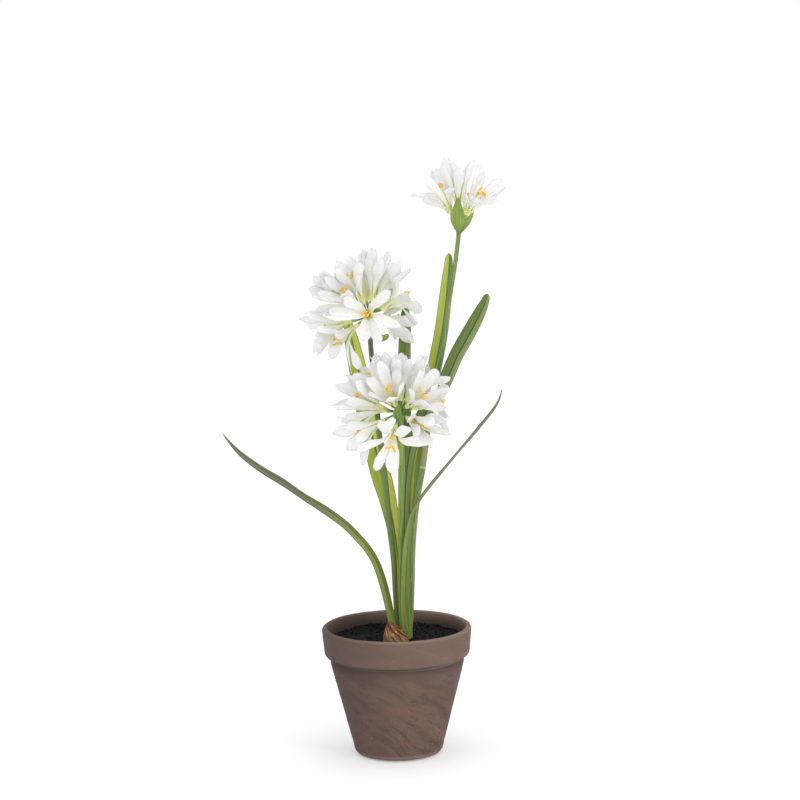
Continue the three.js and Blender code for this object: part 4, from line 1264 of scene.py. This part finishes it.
def petal_slope(share, opening):
    """A petal's slope from the axis, in degrees, at a share of its length."""
    return TUBE_SLOPE + (opening - TUBE_SLOPE) * smooth((share - FLARE_FROM) / FLARE_OVER)


def petal_width(share, blunt):
    """A petal's width at a share of its length: a slim claw, a broad blade and a round end."""
    if share > ROUNDED:
        x = min((share - ROUNDED) / (1 - ROUNDED), 0.9995)
        return PETAL_WIDTHS[-1][1] * (1 - x * x) ** blunt
    places, widths = zip(*PETAL_WIDTHS)
    i = max(k for k in range(len(places) - 1) if places[k] <= max(share, CLAW))
    return between(widths, i, (share - places[i]) / (places[i + 1] - places[i]))


def bend_of(floret, k, corners):
    """The bend that the frame's own petal has, or None where the frame has no such petal."""
    for bend in BENDS:
        if corners.find(floret.tip(k, bend))[2] < TIP_MATCH:
            return bend
    return None


FACING_SHARE = 0.45  # of the turn that would show a petal's whole blade to the front
FACING_MOST = math.radians(24)
# Petals that turn their edge to the front instead, and by how many degrees at most.
EDGE_ON = {
    ("floret_left_low", 3): 58, ("floret_left_top", 0): 60, ("floret_left_top_right", 5): 45,
    ("floret_left_top_right", 0): 38, ("floret_front_upper_right", 0): 45,
    ("floret_front_left", 2): 45, ("floret_front_lower_right", 5): 45,
    ("floret_top_left", 2): 45, ("floret_top_left", 3): 35, ("floret_top_right", 0): 45,
    ("floret_top_right", 1): 25, ("floret_top_centre", 0): 40, ("floret_top_back_left", 3): 45,
}


def facing(floret, k, bend):
    """How far a petal turns about its length, so that it shows more of its blade to the front."""
    outward = floret.out(floret.round_of(k, bend, 0.8))
    slope = math.radians(floret.opening_of(k, bend))
    side = floret.axis.cross(outward)
    inward = floret.axis * math.sin(slope) - outward * math.cos(slope)
    turn = math.atan2(side.cross(inward).dot(inward.cross(FRONT)), inward.dot(FRONT))
    if abs(turn) > math.pi / 2:
        turn -= math.copysign(math.pi, turn)
    most = math.radians(EDGE_ON.get((floret.name, k), 0))
    if most:
        turn -= math.copysign(math.pi / 2, turn)
        return min(max(turn, -most), most)
    return min(max(FACING_SHARE * turn, -FACING_MOST), FACING_MOST)


def petal(build, floret, k, bend):
    """One petal: a cupped blade with a soft mid groove, wavy edges and a curled end."""
    seed = 7 * floret.number + k + 0.5
    length = FLORET_LENGTH * bend[2]
    curl = 26 * draw(seed + 100) + 4
    twist = math.radians(12 * draw(seed + 200)) + facing(floret, k, bend)
    cup = 0.1 + 0.05 * draw(seed + 300)
    phase = 3 * draw(seed + 400)
    tone = draw(seed + 500)
    wave = 0.45 + 0.2 * draw(seed + 600)
    groove = 0.24 + 0.14 * draw(seed + 700)
    broad = 0.16 * draw(seed + 800)
    blunt = 0.7 + 0.32 * draw(seed + 900)
    sway = 1.2 * draw(seed + 1100)
    across, along = PETAL_FOOT + whorl(k), 0.0
    rings = []
    for i in range(1, PETAL_STEPS + 1):
        share = (i - 0.5) / PETAL_STEPS
        slope = petal_slope(share, floret.opening_of(k, bend))
        slope = math.radians(slope + curl * smooth((share - 0.74) / 0.26))
        across += math.sin(slope) * length / PETAL_STEPS
        along += math.cos(slope) * length / PETAL_STEPS
        if i not in PETAL_ROWS_AT:
            continue
        share = i / PETAL_STEPS
        round_ = floret.round_of(k, bend, share)
        outward = floret.out(round_)
        side = floret.axis.cross(outward)
        inward = floret.axis * math.sin(slope) - outward * math.cos(slope)
        turned = Quaternion(side.cross(inward), twist * smooth((share - 0.3) / 0.7))
        side, inward = turned @ side, turned @ inward
        middle = floret.at(across, round_, along) + side * (sway * smooth((share - 0.45) / 0.55))
        width = petal_width(share, blunt) * bend[2] ** 0.5
        width *= 1 + broad * smooth((share - 0.2) / 0.3)
        open_ = smooth((share - 0.25) / 0.3)
        front, back, grains = [], [], []
        for j in range(PETAL_COLUMNS + 1):
            u = 2 * j / PETAL_COLUMNS - 1
            right = u > 0
            lift = -cup * width * (1 - u * u)
            lift += open_ * wave * abs(u) ** 2 * math.sin(9.5 * share + phase + 1.7 * right)
            lift += open_ * 0.07 * abs(u) ** 3 * math.sin(27 * share + 2 * phase + 2 * u)
            lift -= open_ * groove * math.exp(-((u / 0.15) ** 2))
            lift += open_ * 0.07 * math.cos(u * 15 + phase)
            thick = 0.16 - 0.1 * u * u
            ragged = 1 + open_ * 0.07 * math.sin(14 * share + 3 * phase + 2.6 * right)
            ragged += open_ * 0.03 * math.sin(33 * share + phase + 1.2 * right)
            spot = middle + side * (width / 2 * u * ragged)
            front.append(spot + inward * (lift + thick))
            back.append(spot + inward * (lift - thick))
            grains.append((u, share * length, tone))
        inner = [(u, where, tone + INNER_TONE) for u, where, _ in grains]
        rings.append(build.ring([*front, *reversed(back)], [*inner, *reversed(grains)]))
    build.thin_sheet(rings, SATIN)


# The tube's wall: how far along it and its radius, up the outside and down the inside.
TUBE_OUT = [
    (0.3, 0.9), (0.6, 1.25), (1.6, 1.5), (3.2, 1.62), (5, 2.0), (6.6, 2.45), (7.8, 2.8), (8.5, 2.9),
]
TUBE_IN = [(8.3, 2.5), (7.2, 2.2), (5.8, 1.8), (4.2, 1.25), (3.4, 0.5)]
TUBE_LENGTH = 8.5
TUBE_SIDES = 36
NOTCH = 1.5


def tube(build, floret):
    """The floret's tube, with six soft ribs and a notch between petals at its rim."""
    rings = []
    for i, (along, radius) in enumerate(TUBE_OUT + TUBE_IN):
        tone = 0.5 + (INNER_TONE if i >= len(TUBE_OUT) else 0)
        places, grains = [], []
        for j in range(TUBE_SIDES):
            a = 360 * j / TUBE_SIDES
            lobe = math.cos(math.radians(PETALS * a))
            notch = NOTCH * (1 - lobe) / 2 * smooth((along - 5.5) / 3)
            r = radius * (1 + 0.07 * lobe * smooth(along / TUBE_LENGTH))
            places.append(floret.at(r, floret.roll + a, along - notch))
            grains.append((lobe, along, tone))
        rings.append(build.ring(places, grains))
    build.rod(rings, SATIN)


THROAT = 6.5
STAMENS = 5
STAMEN_REACH = 24.5
STYLE_REACH = 27.5
FILAMENT_STEPS, STYLE_STEPS = 12, 14
ANTHER_HALF = 1.95  # half an anther's length
ANTHER_RADIUS = 0.9
ANTHER_STEPS = 8
ANTHER_SIDES = 9


def knobbly(a, seed):
    """An anther's radius round it, as a share: two lobes, roughened."""
    return 1 + 0.2 * draw(seed + round(a * 3)) + 0.16 * math.cos(2 * a)


def anther(build, middle, way, seed):
    """A rough golden anther that lies across its filament's end."""
    face, side = square_to(way)
    lie = way * (0.5 + 0.4 * draw(seed + 1)) + side * draw(seed + 2) + face * draw(seed + 3) * 0.6
    lie.normalize()
    u, v = square_to(lie)
    rings = []
    for i in range(ANTHER_STEPS + 1):
        t = i / ANTHER_STEPS
        fat = math.sqrt(max(1 - (2 * t - 1) ** 2, 0.02))
        pinch = 1 - 0.22 * math.exp(-(((t - 0.5) / 0.12) ** 2))
        spot = middle + lie * (ANTHER_HALF * (2 * t - 1)) + u * (0.3 * math.sin(3 * t + seed))
        rings.append(round_ring(
            build, spot, v, u, ANTHER_RADIUS * fat * pinch, ANTHER_SIDES,
            lambda a: (a, t, 1), lambda a: knobbly(a, seed * 3 + 11 * i),
        ))
    build.rod(rings, GOLD)


def stamens(build, floret):
    """Five filaments with their anthers, and one longer bare style."""
    for k in range(STAMENS):
        seed = 13 * floret.number + k
        round_ = floret.roll + 30 + 360 / STAMENS * k + 24 * draw(seed)
        spread = 2.1 + 1.4 * draw(seed + 500)
        reach = STAMEN_REACH + 2.6 * draw(seed + 900)
        start = floret.at(0.9, round_, THROAT - 2.2)
        end = floret.at(spread + 0.5, round_, reach - 1.6)
        bow = floret.out(round_) * -0.5 + floret.out(round_ + 90) * (0.35 * draw(seed + 30))
        points = bowed(start, end, bow, FILAMENT_STEPS)
        radii = [0.44 - 0.018 * i for i in range(FILAMENT_STEPS + 1)]
        thread(build, points, radii, 7, FILAMENT, 0.0)
        anther(build, floret.at(spread + 0.55, round_, reach - 1.1), floret.axis, seed)
    seed = 41 * floret.number
    round_ = floret.roll + 360 * draw(seed)
    start = floret.at(0.2, round_, THROAT - 2.6)
    end = floret.at(3.2 + 1.2 * draw(seed + 1), round_, STYLE_REACH + 1.5 * draw(seed + 2))
    points = bowed(start, end, floret.out(round_) * -1.1, STYLE_STEPS)
    radii = [0.26 - 0.009 * i for i in range(STYLE_STEPS + 1)]
    thread(build, points, radii, 6, FILAMENT, 1.0)


def build_floret(floret, finishes):
    """One floret: its tube, the petals that the frame's own floret has, and its stamens."""
    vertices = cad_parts[floret.name].data.vertices
    corners = kdtree.KDTree(len(vertices))
    for i, corner in enumerate(vertices):
        corners.insert(corner.co / MM, i)
    corners.balance()
    build = Build()
    tube(build, floret)
    for k in range(PETALS):
        bend = bend_of(floret, k, corners)
        if bend:
            petal(build, floret, k, bend)
    stamens(build, floret)
    name = floret.name.replace("floret", "bloom")
    return build.piece(name, finishes, floret.name)


def petal_finish(settings):
    """Satin white: yellow-green at the throat, fine lengthwise veins, and cool grey painted shade
    at the edges and tips.
    """
    finish = Finish("petal_satin")
    u, along = finish.across, finish.along
    veins = finish.streaks(u * 11, along * 0.05, finish.tone * 9, 3.0, 0.6)
    cloud = finish.noise(finish.mm, 0.12, 3.0)
    # Painted shade: the edges and ends turn a cool grey.
    rim = (abs(u) + (cloud - 0.5) * 0.3).rise(0.76, 1.05) * along.rise(14, 24)
    cream = (1 - along.rise(12, 33)) * (1 - abs(u).rise(0.2, 1.0) * 0.5)
    throat = (1 - along.rise(6, 17)) * (1 - abs(u).rise(0.3, 1.0) * 0.6)
    heart = finish.tone.rise(1.2, 1.8) * (1 - along.rise(8.5, 14))
    colour = finish.coated(
        settings.petal,
        (cloud.rise(0.35, 0.7) * 0.5, srgb(224, 224, 228)),
        (veins.rise(0.5, 0.7) * 0.35, srgb(213, 213, 218)),
        (rim * 0.35, srgb(202, 203, 208)),
        (cream * 0.5, srgb(238, 237, 212)),
        (throat * 0.7, settings.throat),
        ((1 - along.rise(3.5, 11)) * 0.65, srgb(226, 228, 128)),
        (heart * 0.75, srgb(246, 232, 92)),
    )
    return finish.surface(
        colour, 0.5 + cloud * 0.16, finish.bump(veins * 0.7 + cloud * 0.2, 0.2),
        Specular_IOR_Level=0.34, Subsurface_Weight=0.25, Subsurface_Scale=0.001,
        Subsurface_Radius=(1, 1, 0.92),
    )


def filament_finish():
    """Pale yellow-green filaments that whiten upwards."""
    finish = Finish("filament")
    streak = finish.noise(finish.mm, 0.7, 2.0)
    colour = finish.coated(
        srgb(238, 234, 138),
        (finish.along.rise(4, 18), srgb(238, 236, 210)),
        (streak.rise(0.4, 0.7) * 0.3, srgb(222, 218, 170)),
    )
    return finish.surface(
        colour, 0.5 + streak * 0.15, finish.bump(streak, 0.08),
        Subsurface_Weight=0.1, Subsurface_Scale=0.001, Subsurface_Radius=(1, 1, 0.9),
    )


def anther_finish(settings):
    """Powdery golden orange with paler patches as painted highlights and a darker grain."""
    finish = Finish("anther_gold")
    grain = finish.noise(finish.mm, 1.6, 4.0, 0.7)
    patch = finish.noise(finish.mm, 0.5, 2.0)
    # The paler patches are painted highlights.
    colour = finish.coated(
        settings.anther,
        (patch.rise(0.35, 0.65), srgb(250, 218, 112)),
        (grain.rise(0.5, 0.7) * 0.45, srgb(208, 152, 48)),
    )
    bump = finish.bump(grain, 0.3)
    return finish.surface(colour, 0.75 + grain * 0.2, bump, Specular_IOR_Level=0.3)


# ---- stage --------------------------------------------------------------------------------
CAMERA_PLACE = (5.8, -1600.0, 465.4)
CAMERA_DOWN = 6.885  # degrees below level
CAMERA_ROLL = -1.078
CAMERA_LENS = 95.72
SENSOR = 36.0
CLIP = (0.05, 50)  # metres
FLOOR_LEVEL = -0.4
FLOOR_SIDES = 96
FLOOR_RADII = (300, 900, 2400, 6000, 14000)
# Each softbox: name, place, where it looks, width, power and colour.
LAMPS = [
    ("softbox_right", (1400, -1500, 1300), (0, 0, 230), 1100, 8, (1.0, 0.99, 0.98)),
    ("softbox_left", (-1700, -900, 1200), (0, 0, 230), 1100, 1, (0.97, 0.98, 1.0)),
    ("softbox_top", (300, 200, 1900), (0, 0, 200), 1200, 1, (1.0, 1.0, 1.0)),
    ("softbox_front", (0, -1900, 500), (0, 0, 150), 900, 2.5, (1.0, 1.0, 1.0)),
]


def build_floor(settings):
    """A plain pale disc, finely mottled, that the pot stands on."""
    build = Build()
    rings = []
    for radius in FLOOR_RADII:
        places = [polar(radius, a, FLOOR_LEVEL) for a in circle(FLOOR_SIDES)]
        rings.append(build.ring(places, [(0, radius, 0)] * FLOOR_SIDES))
    build.tube(rings)
    build.cap(rings[0])
    mesh = bpy.data.meshes.new("floor")
    mesh.from_pydata([p * MM for p in build.points], [], build.faces)
    finish = Finish("floor_paper")
    mottle = finish.noise(finish.mm, 0.02, 3.0)
    colour = finish.mix(mottle, settings.floor, tuple(0.98 * c for c in settings.floor))
    mesh.materials.append(finish.surface(
        colour, 0.9 + mottle * 0.05, Specular_IOR_Level=0.0,
        Emission_Color=(1, 1, 1, 1), Emission_Strength=settings.floor_glow,
    ))
    floor = bpy.data.objects.new("floor", mesh)
    bpy.context.scene.collection.objects.link(floor)


def aim(obj, place, target):
    """Puts an object at a place with its front to a target."""
    obj.location = Vector(place) * MM
    way = (Vector(target) - Vector(place)).normalized()
    obj.rotation_mode = "QUATERNION"
    obj.rotation_quaternion = way.to_track_quat("-Z", "Y")


def build_lights(settings):
    """The softboxes, and the white surround that fills the shadows."""
    for name, place, target, width, power, colour in LAMPS:
        light = bpy.data.lights.new(name, "AREA")
        light.shape = "DISK"
        light.size = width * MM
        light.energy = power * settings.lamp_power
        light.color = colour
        lamp = bpy.data.objects.new(name, light)
        bpy.context.scene.collection.objects.link(lamp)
        aim(lamp, place, target)
    world = bpy.data.worlds.new("white_studio")
    world.use_nodes = True
    background = world.node_tree.nodes["Background"]
    background.inputs["Color"].default_value = (1, 1, 1, 1)
    background.inputs["Strength"].default_value = settings.world_light
    bpy.context.scene.world = world


def build_camera():
    """The camera, which looks a little down on the plant from the front."""
    lens = bpy.data.cameras.new("camera")
    lens.sensor_width = SENSOR
    lens.lens = CAMERA_LENS
    lens.clip_start, lens.clip_end = CLIP
    camera = bpy.data.objects.new("camera", lens)
    bpy.context.scene.collection.objects.link(camera)
    camera.location = Vector(CAMERA_PLACE) * MM
    level = Quaternion((1, 0, 0), math.radians(90 - CAMERA_DOWN))
    camera.rotation_mode = "QUATERNION"
    camera.rotation_quaternion = level @ Quaternion((0, 0, 1), math.radians(CAMERA_ROLL))
    bpy.context.scene.camera = camera


# ---- settings, operators and panel --------------------------------------------------------
POT_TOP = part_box("pot")[1]


def colour_setting(name, description, default):
    return FloatVectorProperty(
        name=name, description=description, default=default, subtype="COLOR", size=3, min=0, max=1
    )


def length_setting(name, description, default):
    return FloatProperty(
        name=name, description=description, default=default, unit="LENGTH", subtype="DISTANCE"
    )


def light_setting(name, description, default):
    return FloatProperty(name=name, description=description, default=default, min=0)


class PotSettings(bpy.types.PropertyGroup):
    """Sizes and colours of the pot, its soil and the bulb."""

    height: length_setting("Pot height", "From the table to the top of the rim", POT_TOP.z)
    rim_radius: length_setting("Rim radius", "Half the pot's width at its rim", POT_TOP.x)
    soil_level: length_setting("Soil level", "Height of the soil above the table", 88 * MM)
    clay: colour_setting("Clay", "The pot's main brown", srgb(106, 86, 76))
    stroke: colour_setting("Stroke", "The darker brushed strokes in the clay", srgb(72, 57, 50))
    soil: colour_setting("Soil", "The damp earth", srgb(10, 10, 11))
    scale: colour_setting("Bulb scale", "The bulb's papery skins", srgb(144, 92, 58))
    # The colour of the gaps between the bulb's skins is painted shade.
    painted_gap_shade: colour_setting("Bulb shade", "The dark gaps between the skins", srgb(54, 30, 18))


class PlantSettings(bpy.types.PropertyGroup):
    """Sizes and colours of the leaves, stems and flowers."""

    leaf_thickness: length_setting("Leaf thickness", "Of a strap leaf at its crease", 1.0 * MM)
    stem_radius: length_setting("Stem radius", "Half a flower stem's width at its foot", 2.4 * MM)
    petal: colour_setting("Petal", "The petals' white", srgb(237, 237, 236))
    throat: colour_setting("Throat", "The cream green at the petals' foot", srgb(228, 230, 176))
    anther: colour_setting("Anther", "The powdery gold of the anthers", srgb(238, 190, 66))


class StageSettings(bpy.types.PropertyGroup):
    """The floor's colour and how strong the studio's light is."""

    floor: colour_setting("Floor", "The pale floor", (0.8, 0.8, 0.8))
    floor_glow: light_setting("Floor glow", "Light that the white floor gives off", 0.26)
    lamp_power: light_setting("Lamp power", "Factor on all softboxes", 1.0)
    world_light: light_setting("World light", "Strength of the white surround", 1.0)


class AGAPANTHUS_OT_pot(bpy.types.Operator):
    """Builds the clay pot"""

    bl_idname = "agapanthus.pot"
    bl_label = "Pot"

    def execute(self, context):
        build_pot(context.scene.agapanthus_pot)
        return {"FINISHED"}


class AGAPANTHUS_OT_soil(bpy.types.Operator):
    """Builds the soil and its crumbs"""

    bl_idname = "agapanthus.soil"
    bl_label = "Soil"

    def execute(self, context):
        build_soil(context.scene.agapanthus_pot)
        return {"FINISHED"}


class AGAPANTHUS_OT_bulb(bpy.types.Operator):
    """Builds the bulb with its papery scales and straw skirt"""

    bl_idname = "agapanthus.bulb"
    bl_label = "Bulb"

    def execute(self, context):
        build_bulb(context.scene.agapanthus_pot)
        return {"FINISHED"}


class AGAPANTHUS_OT_leaves(bpy.types.Operator):
    """Builds the six strap leaves"""

    bl_idname = "agapanthus.leaves"
    bl_label = "Leaves"

    def execute(self, context):
        for name in LEAVES:
            build_leaf(context.scene.agapanthus_plant, name)
        return {"FINISHED"}


class AGAPANTHUS_OT_stems(bpy.types.Operator):
    """Builds the three flower stems with their pedicels and bracts"""

    bl_idname = "agapanthus.stems"
    bl_label = "Flower stems"

    def execute(self, context):
        for head in HEADS:
            build_stem(context.scene.agapanthus_plant, head)
        return {"FINISHED"}


class AGAPANTHUS_OT_florets(bpy.types.Operator):
    """Builds the florets of the three heads"""

    bl_idname = "agapanthus.florets"
    bl_label = "Florets"

    def execute(self, context):
        plant = context.scene.agapanthus_plant
        finishes = [petal_finish(plant), filament_finish(), anther_finish(plant)]
        for head in HEADS:
            for floret in florets_of(head):
                build_floret(floret, finishes)
        return {"FINISHED"}


class AGAPANTHUS_OT_stage(bpy.types.Operator):
    """Sets the camera, the floor and the soft studio light"""

    bl_idname = "agapanthus.stage"
    bl_label = "Stage"

    def execute(self, context):
        settings = context.scene.agapanthus_stage
        build_camera()
        build_floor(settings)
        build_lights(settings)
        context.scene.view_settings.view_transform = "Standard"
        return {"FINISHED"}


OPERATORS = [
    AGAPANTHUS_OT_stage,
    AGAPANTHUS_OT_pot,
    AGAPANTHUS_OT_soil,
    AGAPANTHUS_OT_bulb,
    AGAPANTHUS_OT_leaves,
    AGAPANTHUS_OT_stems,
    AGAPANTHUS_OT_florets,
]
SETTINGS = {
    "agapanthus_pot": PotSettings,
    "agapanthus_plant": PlantSettings,
    "agapanthus_stage": StageSettings,
}


class AGAPANTHUS_PT_panel(bpy.types.Panel):
    """Lists the settings and the steps in the 3D view's sidebar"""

    bl_idname = "AGAPANTHUS_PT_panel"
    bl_label = "Potted agapanthus"
    bl_space_type = "VIEW_3D"
    bl_region_type = "UI"
    bl_category = "Agapanthus"

    def draw(self, context):
        for key, group in SETTINGS.items():
            box = self.layout.box()
            for setting in group.__annotations__:
                box.prop(getattr(context.scene, key), setting)
        for operator in OPERATORS:
            self.layout.operator(operator.bl_idname)


CLASSES = [*SETTINGS.values(), *OPERATORS, AGAPANTHUS_PT_panel]


def register():
    for cls in CLASSES:
        bpy.utils.register_class(cls)
    for key, group in SETTINGS.items():
        setattr(bpy.types.Scene, key, PointerProperty(type=group))


def unregister():
    for key in SETTINGS:
        delattr(bpy.types.Scene, key)
    for cls in reversed(CLASSES):
        bpy.utils.unregister_class(cls)


def main():
    """Builds everything."""
    register()
    for operator in OPERATORS:
        group, step = operator.bl_idname.split(".")
        getattr(getattr(bpy.ops, group), step)()


if __name__ == "__main__":
    main()
